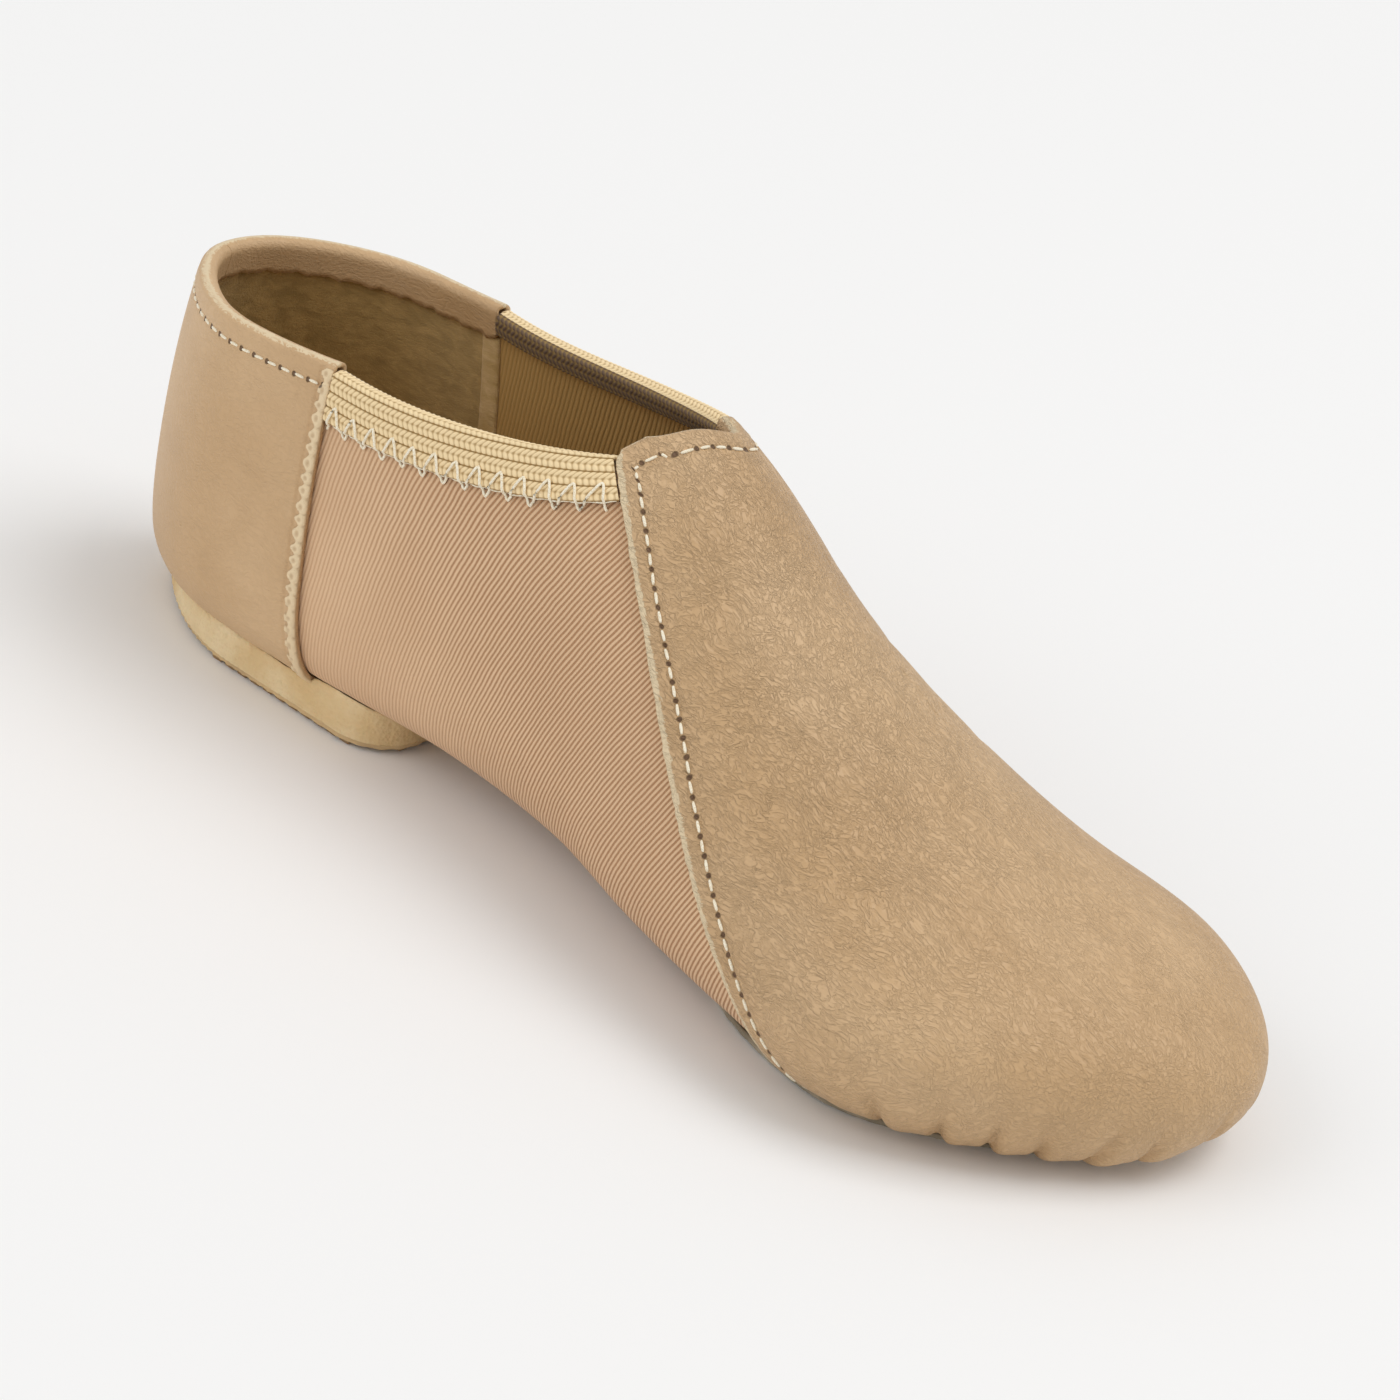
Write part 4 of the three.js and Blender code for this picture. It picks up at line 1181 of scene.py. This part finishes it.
def slab(name, edge, centre, scales, shifts, heights):
    """A closed slab of rings: each is the outline scaled, moved in by a shift, at its own heights."""
    factor = scales[:, None] - shifts / np.linalg.norm(edge, axis=-1)
    plan = centre + factor[..., None] * edge
    z = heights(plan[..., 0], plan[..., 1])
    points = np.concatenate([plan, z[..., None]], -1)
    poles = np.stack([points[0].mean(0), points[-1].mean(0)])
    return put(name, np.concatenate([points.reshape(-1, 3), poles]), grid_faces(*z.shape, 0, True), None,
               end_fans(*z.shape))


def make_wedge():
    steps, wall = 26, 16
    edge, scales, rise, angle = sole_rings(in_pad, PAD_CENTRE, 300, steps, wall)
    on_wall = slice(steps - 1, steps + wall + 1)
    height = rise[on_wall]
    sawn = 0.16 * ripple(angle * 26, 1.0) * (0.4 + height)
    sawn = sawn + 0.1 * ripple(height * 9 + angle * 60, 3.0)
    rounding = np.zeros((len(scales), len(angle)))
    rounding[on_wall] = sawn + 0.4 * np.clip(2 * height - 1, 0, 1) ** 6

    def heights(x, y):
        # The foam meets the leather behind the seam and the thinner twill in front of it
        layers = UNDER_SKIN - 1.3 * smooth(x, SEAM_BOTTOM - 1.5, SEAM_BOTTOM + 0.5)
        top = np.minimum(underside(x, y, layers), PAD_LIP) + 0.12 * ripple(angle * 17, 4.0)
        return TREAD_TOP + 0.02 + rise * (top - TREAD_TOP)

    return slab("foam_heel_wedge", edge, PAD_CENTRE, scales, rounding, heights)


def make_tread(block_pitch):
    """A thin rubber slab with raised square blocks underneath, each tapered with soft corners."""
    edge, scales, rise, angle = sole_rings(in_pad, PAD_CENTRE, 300, 8, 6)
    rounding = 0.1 + (1 - rise) * (0.2 + 0.35 * np.abs(np.sin(angle * 34)))
    base = slab("tread_base", edge, PAD_CENTRE, scales, rounding * (scales[:, None] > 0.9),
                lambda x, y: TREAD_BASE + rise * (TREAD_TOP - TREAD_BASE) + 0 * x)
    columns = np.arange(-15, 16) * block_pitch
    x, y = (part.ravel() for part in np.meshgrid(PAD_CENTRE[0] + columns, PAD_CENTRE[1] + columns))
    half = block_pitch * 0.36
    corners = np.array([[-1, -1], [1, -1], [1, 1], [-1, 1]])
    held = np.ones(len(x), bool)
    for step_x, step_y in corners:
        held &= in_pad(x + step_x * (half + 0.25), y + step_y * (half + 0.25))
    rings = [(1.0, 1.15), (0.92, 0.35), (0.8, 0.08), (0.62, 0.0)]
    shape = np.concatenate([np.column_stack([corners * size * half, np.full(4, z)]) for size, z in rings])
    faces = np.concatenate([grid_faces(4, 4, 0, True), [[0, 1, 2, 3], [15, 14, 13, 12]]])
    origins = np.stack([x[held], y[held], 0 * x[held]], -1)
    axes = [np.broadcast_to(axis, origins.shape) for axis in np.eye(3)]
    return base, copies("tread_blocks", shape, faces, np.zeros((0, 3), int), origins, *axes)


def make_patch():
    edge, scales, rise, angle = sole_rings(in_patch, PATCH_CENTRE, 320, 40, 7)
    rounding = (0.3 * (2 * rise - 1) ** 4 + 0.18 * ripple(angle * 30, 1.0)) * (scales[:, None] > 0.97)

    def heights(x, y):
        top = underside(x, y, UNDER_SKIN)
        low = np.maximum(underside(x, y, UNDER_SKIN + SUEDE), 0)
        return low + rise * (np.maximum(top, low + 0.3) - low)

    return slab("suede_forefoot_patch", edge, PATCH_CENTRE, scales, rounding, heights)


def make_footbed():
    """A thin footbed whose edge turns up a little with the last."""
    share = np.linspace(0.0, 1.0, 130)
    place = (1 - np.cos(share * math.pi)) / 2
    x = HEEL_X + INSOLE_MARGIN + place * (LAST_LENGTH - 2 * INSOLE_MARGIN)
    w = np.linspace(-1, 1, 61)
    half_out = (line("outer", place) - INSOLE_MARGIN) * end_share(place, "plan")
    half_in = (line("inner", place) - INSOLE_MARGIN) * end_share(place, "plan")
    half = np.where(w[None] < 0, half_out[:, None], half_in[:, None])
    half = np.maximum(half, 0.05)
    y = line("middle", place)[:, None] + w[None] * half
    x = np.broadcast_to(x[:, None], y.shape)
    low = underside(x, y, -GAP)
    return closed_sheet("footbed", *(np.stack([x, y, low + high], -1) for high in (INSOLE_THICKNESS, 0.0)))


# Threads


def zigzag(name, side, pitch, tall, radius):
    """One thread in leaning teeth over the elastic's lower edge, which dips into each needle hole."""
    low = -ELASTIC_WIDTH - 1.9
    start, end = (float(limit[0]) for limit in collar_ends(np.array([low + tall / 2]), 2.7, side, 0.9, 0.9))
    count = round((end - start) * LAST_LENGTH / pitch)
    t = np.linspace(0, count, count * 24 + 1)
    part = t % 1
    # The stroke up takes a third of a tooth and the stroke down the rest
    climb = np.where(part < 0.5, part * 2, 2 - part * 2)
    ahead = np.floor(t) + np.where(part < 0.5, part * 0.68, 0.34 + (part - 0.5) * 1.32)
    up = low + tall * (0.5 - 0.5 * np.cos(math.pi * (0.08 + 0.84 * climb)) * 1.05) + 0.12 * np.sin(t * 3.7)
    dip = 0.35 * hump(climb, 0.1) + 0.35 * hump(1 - climb, 0.1)
    lifted = 1.75 + 1.25 * smooth(up, -ELASTIC_WIDTH - 0.95, -ELASTIC_WIDTH - 0.45) - dip
    return tube(name, collar_path(start + (end - start) * ahead / count, up, lifted, side), radius)


def lower_thread(name, side, radius):
    """The thread that runs along under the teeth and holds the elastic's edge down."""
    low = -ELASTIC_WIDTH - 0.66
    start, end = (float(limit[0]) for limit in collar_ends(np.array([low]), 2.7, side, 0.7, 0.7))
    t = np.linspace(0, 1, 260)
    up = low + 0.1 * np.sin(t * 96)
    return tube(name, collar_path(start + (end - start) * t, up, 2.1 + 0.1 * np.sin(t * 192), side), radius)


def ragged_seam(name):
    """The raw seam allowance that stands up a little along the centre back."""
    h = np.concatenate([np.linspace(COLLAR_BACK - 1.5, LEVEL_Z, 110), LEVEL_Z - np.linspace(0.3, 16, 30)])
    w = np.linspace(-1, 1, 11)
    shown, hidden = [], []
    for across in w:
        reach = across * (1.1 + 0.25 * ripple(h * 1.1, 1.0 + 2.0 * (across > 0)))
        q = np.clip(reach / ARC_LENGTH * ARC_PART, -1, 1)
        high = 0.5 * (1 - across ** 4) * (1 + 0.35 * ripple(h * 2.2, 5.0 * across))
        high = high - 0.18 * hump(across, 0.16)
        shown.append(heel_skin(q, h, 2.35 + high)[0])
        hidden.append(heel_skin(q, h, np.full(len(h), 2.15))[0])
    return closed_sheet(name, np.stack(shown, 1), np.stack(hidden, 1))


# Settings that a user would change


def length_setting(name, note, value):
    return FloatProperty(name=name, description=note, default=value, min=0.0, unit="LENGTH", precision=4)


def colour_setting(name, note, code):
    return FloatVectorProperty(name=name, description=note, default=linear(code), size=4, min=0.0, max=1.0,
                               subtype="COLOR")


class JazzShoeSizes(bpy.types.PropertyGroup):
    stitch_pitch: length_setting("Stitch pitch", "From one needle hole to the next", STITCH_PITCH / 1000)
    stitch_inset: length_setting("Stitch inset", "From an edge in to its stitches", STITCH_INSET / 1000)
    thread_width: length_setting("Thread width", "Width of the seam thread", 0.0006)
    grain_width: length_setting("Grain", "Width of one wrinkle of the leather's grain", 0.0009)
    rib_pitch: length_setting("Twill rib pitch", "From one rib of the twill to the next", 0.00092)
    rib_lean: FloatProperty(name="Twill rib lean", description="How far the ribs run ahead for their rise",
                            default=0.3, min=0.0, max=2.0)
    tooth_pitch: length_setting("Zigzag pitch", "Length of one tooth of the elastic's zigzag", 0.0043)
    tooth_height: length_setting("Zigzag height", "Height of one tooth of the elastic's zigzag", 0.0043)
    block_pitch: length_setting("Tread pitch", "From one block of the heel's tread to the next", 0.0034)


class JazzShoeColours(bpy.types.PropertyGroup):
    leather: colour_setting("Leather", "Tan leather in full light", 0xD6B48A)
    leather_deep: colour_setting("Leather, deeper", "Broad darker clouds in the leather", 0xC9A579)
    # Painted shade at the bottoms of the grain's creases and in the dips of the overcast ridge
    leather_crease_shade: colour_setting("Leather creases", "Bottoms of the grain's creases", 0x9C7A50)
    raw_edge: colour_setting("Raw edge", "Cut leather edges and loose fibre", 0xE6D2AE)
    ridge: colour_setting("Overcast ridge", "The thread-covered ridge beside the gore", 0xEBD3AC)
    # Painted shade in the needle holes
    needle_hole_shade: colour_setting("Needle holes", "Shadow in the needle holes", 0x5A3A20)
    twill: colour_setting("Twill", "Ribs of the stretch twill", 0xE6C29C)
    # Painted shade between the twill's ribs, also mixed in for broad darker clouds
    twill_gap_shade: colour_setting("Twill gaps", "Shadow between the ribs", 0xB48660)
    backing: colour_setting("Twill backing", "Inner face of the gores", 0xC29A5C)
    lining_light: colour_setting("Lining", "Brushed lining where the nap lies light", 0xC6A468)
    lining_dark: colour_setting("Lining, dark", "Brushed lining where the nap lies dark", 0xA68850)
    seam_tape: colour_setting("Seam tape", "Taped seams inside", 0xDCBC86)
    knit: colour_setting("Elastic", "Crowns of the knitted elastic", 0xFBE2B4)
    # Painted shade in the gaps between the knitted stitches
    knit_gap_shade: colour_setting("Elastic gaps", "Gaps between the knitted stitches", 0xA07C44)
    # The elastic's face inside the shoe, painted in shade
    elastic_inside_shade: colour_setting("Elastic inside", "Inner face of the elastic", 0x6A5646)
    thread: colour_setting("Thread", "Seam thread", 0xFFF8E4)
    thread_shade: colour_setting("Thread shade", "Shaded plies of the thread", 0xEAD8B4)
    suede: colour_setting("Suede", "Forefoot suede where the nap lies light", 0xBDB09A)
    suede_dark: colour_setting("Suede, dark", "Forefoot suede where the nap lies dark", 0x8F8470)
    foam: colour_setting("Foam", "Heel foam", 0xEFD9B0)
    foam_deep: colour_setting("Foam, deeper", "Pores and clouds in the foam", 0xDDBE8C)
    rubber: colour_setting("Rubber", "Heel rubber", 0x8E6B48)
    rubber_worn: colour_setting("Rubber, worn", "Faces that touch the floor", 0xAB875E)
    rubber_dust: colour_setting("Rubber dust", "Dust on the rubber", 0xA98C68)
    floor: colour_setting("Floor", "The studio floor", 0xF6F6F6)


class JazzShoeStage(bpy.types.PropertyGroup):
    key_power: FloatProperty(name="Key light", description="Power of the large soft light, in watts",
                             default=68.0, min=0.0)
    fill_power: FloatProperty(name="Fill light", description="Power of the weaker light, in watts",
                              default=34.0, min=0.0)
    world_strength: FloatProperty(name="Room light", description="Strength of the even light all round",
                                  default=0.6, min=0.0)


def settings():
    scene = bpy.context.scene
    return scene.jazz_shoe_sizes, scene.jazz_shoe_colours, scene.jazz_shoe_stage


def kept(make, name, *values):
    """A material by its name, made when it is first asked for."""
    return bpy.data.materials.get(name) or make(name, *values)


def seam_thread(colours):
    return kept(spun_thread, "spun_seam_thread", colours.thread, colours.thread_shade)


def stand(name, data, place, right, up, back):
    """A lamp or a camera at a place, turned by its three axes. It looks away from its back."""
    holder = bpy.data.objects.new(name, data)
    holder.matrix_world = Matrix(np.column_stack([right, up, back]).tolist()).to_4x4()
    holder.location = place
    bpy.context.scene.collection.objects.link(holder)
    return holder


class SHOE_OT_stage(bpy.types.Operator):
    """Adds the floor, the soft lights and the camera"""
    bl_idname = "shoe.stage"
    bl_label = "Stage"

    def execute(self, context):
        _, colours, stage = settings()
        corners = np.array([[-1, -1], [1, -1], [1, 1], [-1, 1]]) * 4000.0
        points = np.concatenate([np.column_stack([corners, np.full(4, z)]) for z in (-20.0, 0.0)])
        faces = np.array([[0, 3, 2, 1], [4, 5, 6, 7], [0, 1, 5, 4], [1, 2, 6, 5], [2, 3, 7, 6], [3, 0, 4, 7]])
        floor = put("studio_floor", points, faces)
        floor.data.polygons.foreach_set("use_smooth", np.zeros(6, bool))
        floor.data.materials.append(matt_floor(colours))
        # Colours are shown as they are, with no film curve that greys a white floor
        context.scene.view_settings.view_transform = "Standard"
        world = bpy.data.worlds.new("even_studio_light")
        context.scene.world = world
        world.use_nodes = True
        backdrop = world.node_tree.nodes["Background"]
        backdrop.inputs["Color"].default_value = (1.0, 0.995, 0.985, 1.0)
        backdrop.inputs["Strength"].default_value = stage.world_strength
        for name, power, size, place in (
            ("key_light", stage.key_power, 2.6, (1.6, 1.2, 3.7)),
            ("fill_light", stage.fill_power, 3.0, (-1.8, -3.0, 2.4)),
        ):
            lamp = bpy.data.lights.new(name, "AREA")
            lamp.energy = power
            lamp.size = size
            back = unit(np.array(place) - [0.08, 0, 0.03])
            right = unit(np.cross([0, 0, 1], back))
            stand(name, lamp, place, right, np.cross(back, right), back)
        self.add_camera(context)
        return {"FINISHED"}

    def add_camera(self, context):
        """Stands the camera off the shoe by the photograph's azimuth, height angle, roll and distance."""
        azimuth, elevation, roll = (math.radians(value) for value in (33.5, 28.76, 13.43))
        look_at = np.array([83.5, 0, 35])
        off_x, off_y, distance = -4.87, -2.44, 659.1
        back = np.array([math.sin(azimuth) * math.cos(elevation), -math.cos(azimuth) * math.cos(elevation),
                         math.sin(elevation)])
        level = np.array([math.cos(azimuth), math.sin(azimuth), 0])
        upright = np.cross(back, level)
        right = math.cos(roll) * level + math.sin(roll) * upright
        up = math.cos(roll) * upright - math.sin(roll) * level
        place = look_at - off_x * right + off_y * up + distance * back
        lens = bpy.data.cameras.new("photo_camera")
        lens.sensor_width = 36
        lens.lens = 96.0
        lens.clip_end = 50
        context.scene.camera = stand("photo_camera", lens, place / 1000, right, up, back)


class SHOE_OT_lining(bpy.types.Operator):
    """Adds the lining, the twill gores with the arch, and the taped seams inside"""
    bl_idname = "shoe.lining"
    bl_label = "Lining and gores"

    def execute(self, context):
        sizes, colours, _ = settings()
        nap = napped_cloth("brushed_lining_suede", colours.lining_light, colours.lining_dark,
                           0.00045, 0.2, 0.0004)
        tape = napped_cloth("folded_seam_tape", colours.seam_tape, colours.lining_light,
                            0.00045, 0.2, 0.0003)
        dress(heel_lining(), nap, "twill", "upper")
        dress(gore_sheet(), stretch_twill(colours, sizes), "twill", "upper")
        none = np.stack([FOLD_SHOWN[:, 0] * 0, FOLD_SHOWN[:, 0] * 0], -1)
        inner = (none, none, NEAR_EDGE[::3], 30, 0.0)
        outer = (none + [0, WALL], none + [0, WALL], NEAR_EDGE[::3], 24, WALL)
        dress(forepart("toe_lining", inner, outer, 3.2, None), nap, "twill", "upper")
        for side, name in ((OUTER, "seam_tape_outer"), (INNER, "seam_tape_inner")):
            dress(seam_strip(name, side), tape, "twill")
        return {"FINISHED"}


class SHOE_OT_vamp(bpy.types.Operator):
    """Adds the leather forepart with its hem, creases, pleats and stitches"""
    bl_idname = "shoe.vamp"
    bl_label = "Vamp"

    def execute(self, context):
        sizes, colours, _ = settings()
        leather = kept(tanned_leather, "tumbled_garment_leather", colours, sizes)
        shown = (FOLD_SHOWN, EDGE_SHOWN, NEAR_EDGE, 142, SKIN + LEATHER)
        hidden = (FOLD_HIDDEN, EDGE_HIDDEN, NEAR_EDGE, 24, SKIN)
        dress(forepart("vamp_leather", shown, hidden, 0.0, vamp_relief), leather, "leather", "vamp")
        thread = seam_thread(colours)
        turns = vamp_turns()[0]
        lines, gone = forepart_lines(turns, 0.0)
        share, gone = inset(lines, gone, sizes.stitch_inset * 1000)
        path, normals = skin(share, turns, np.full(len(turns), 2.3)), last_normal(share, turns)
        run = (turns > 0.75) & (turns < 2 * math.pi - 0.75)
        row = stitch_row("vamp_stitches", path[run], normals[run], gone[run],
                         sizes.stitch_pitch * 1000, sizes.thread_width * 1000)
        dress(row, thread, "leather")
        return {"FINISHED"}


class SHOE_OT_quarters(bpy.types.Operator):
    """Adds the two leather heel quarters, their stitches and the raw seam at the back"""
    bl_idname = "shoe.quarters"
    bl_label = "Heel quarters"

    def execute(self, context):
        sizes, colours, _ = settings()
        leather = kept(tanned_leather, "tumbled_garment_leather", colours, sizes)
        thread = seam_thread(colours)
        pitch, thick = sizes.stitch_pitch * 1000, sizes.thread_width * 1000
        for side, word in ((OUTER, "outer"), (INNER, "inner")):
            dress(heel_sheet("quarter_leather_" + word, side), leather, "leather", "heel_quarter_" + word)
            q = quarter_columns(side)
            rim = heel_rim(q)
            level = np.full(len(q), 2.3)
            gone = lengths(heel_skin(q, rim, level)[0])
            path, normals = heel_skin(q, rim - sizes.stitch_inset * 1000, level)
            row = stitch_row("quarter_stitches_" + word, path[3:-8], normals[3:-8], gone[3:-8], pitch, thick)
            dress(row, thread, "leather")
        seam = ragged_seam("centre_back_seam")
        fray = napped_cloth("raw_leather_edge", colours.raw_edge, colours.leather_deep, 0.0005, 0.1, 0.0003)
        dress(seam, fray, "leather")
        return {"FINISHED"}


class SHOE_OT_bindings(bpy.types.Operator):
    """Adds the knitted elastic along the collar and the zigzag that holds it"""
    bl_idname = "shoe.bindings"
    bl_label = "Elastic bindings"

    def execute(self, context):
        sizes, colours, _ = settings()
        elastic = knitted_elastic(colours)
        thread = seam_thread(colours)
        pitch, tall = sizes.tooth_pitch * 1000, sizes.tooth_height * 1000
        for side, word in ((OUTER, "outer"), (INNER, "inner")):
            binding = binding_sheet("knitted_binding_" + word, side)
            dress(binding, elastic, "elastic", "elastic_binding_" + word)
            dress(zigzag("zigzag_" + word, side, pitch, tall, 0.26), thread, "elastic")
            dress(lower_thread("edge_thread_" + word, side, 0.16), thread, "elastic")
        return {"FINISHED"}


class SHOE_OT_soles(bpy.types.Operator):
    """Adds the footbed, the suede forefoot patch and the foam heel with its rubber tread"""
    bl_idname = "shoe.soles"
    bl_label = "Soles"

    def execute(self, context):
        sizes, colours, _ = settings()
        nap = napped_cloth("brushed_footbed_suede", colours.lining_light, colours.lining_dark,
                           0.0005, 0.15, 0.0003)
        dress(make_footbed(), nap, "footbed", "insole")
        suede = napped_cloth("split_suede", colours.suede, colours.suede_dark, 0.0007, 0.12, 0.0005)
        dress(make_patch(), suede, "suede", "forefoot_sole")
        dress(make_wedge(), sawn_foam(colours), "foam", "heel_wedge")
        rubber = moulded_rubber(colours)
        for piece in make_tread(sizes.block_pitch * 1000):
            dress(piece, rubber, "tread", "heel_tread")
        return {"FINISHED"}


class SHOE_PT_panel(bpy.types.Panel):
    """Lists the shoe's pieces and settings in the sidebar"""
    bl_idname = "SHOE_PT_panel"
    bl_label = "Jazz shoe"
    bl_space_type = "VIEW_3D"
    bl_region_type = "UI"
    bl_category = "Shoe"

    def draw(self, context):
        for operator in OPERATORS:
            self.layout.operator(operator.bl_idname)
        for group in settings():
            for name in group.bl_rna.properties.keys():
                if name not in ("rna_type", "name"):
                    self.layout.prop(group, name)


GROUPS = (JazzShoeSizes, JazzShoeColours, JazzShoeStage)
OPERATORS = (SHOE_OT_stage, SHOE_OT_lining, SHOE_OT_vamp, SHOE_OT_quarters, SHOE_OT_bindings, SHOE_OT_soles)
CLASSES = (*GROUPS, *OPERATORS, SHOE_PT_panel)


def register():
    for kind in CLASSES:
        bpy.utils.register_class(kind)
    bpy.types.Scene.jazz_shoe_sizes = PointerProperty(type=JazzShoeSizes)
    bpy.types.Scene.jazz_shoe_colours = PointerProperty(type=JazzShoeColours)
    bpy.types.Scene.jazz_shoe_stage = PointerProperty(type=JazzShoeStage)


def unregister():
    del bpy.types.Scene.jazz_shoe_stage
    del bpy.types.Scene.jazz_shoe_colours
    del bpy.types.Scene.jazz_shoe_sizes
    for kind in reversed(CLASSES):
        bpy.utils.unregister_class(kind)


def main():
    register()
    bpy.ops.shoe.stage()
    bpy.ops.shoe.lining()
    bpy.ops.shoe.vamp()
    bpy.ops.shoe.quarters()
    bpy.ops.shoe.bindings()
    bpy.ops.shoe.soles()


if __name__ == "__main__":
    main()
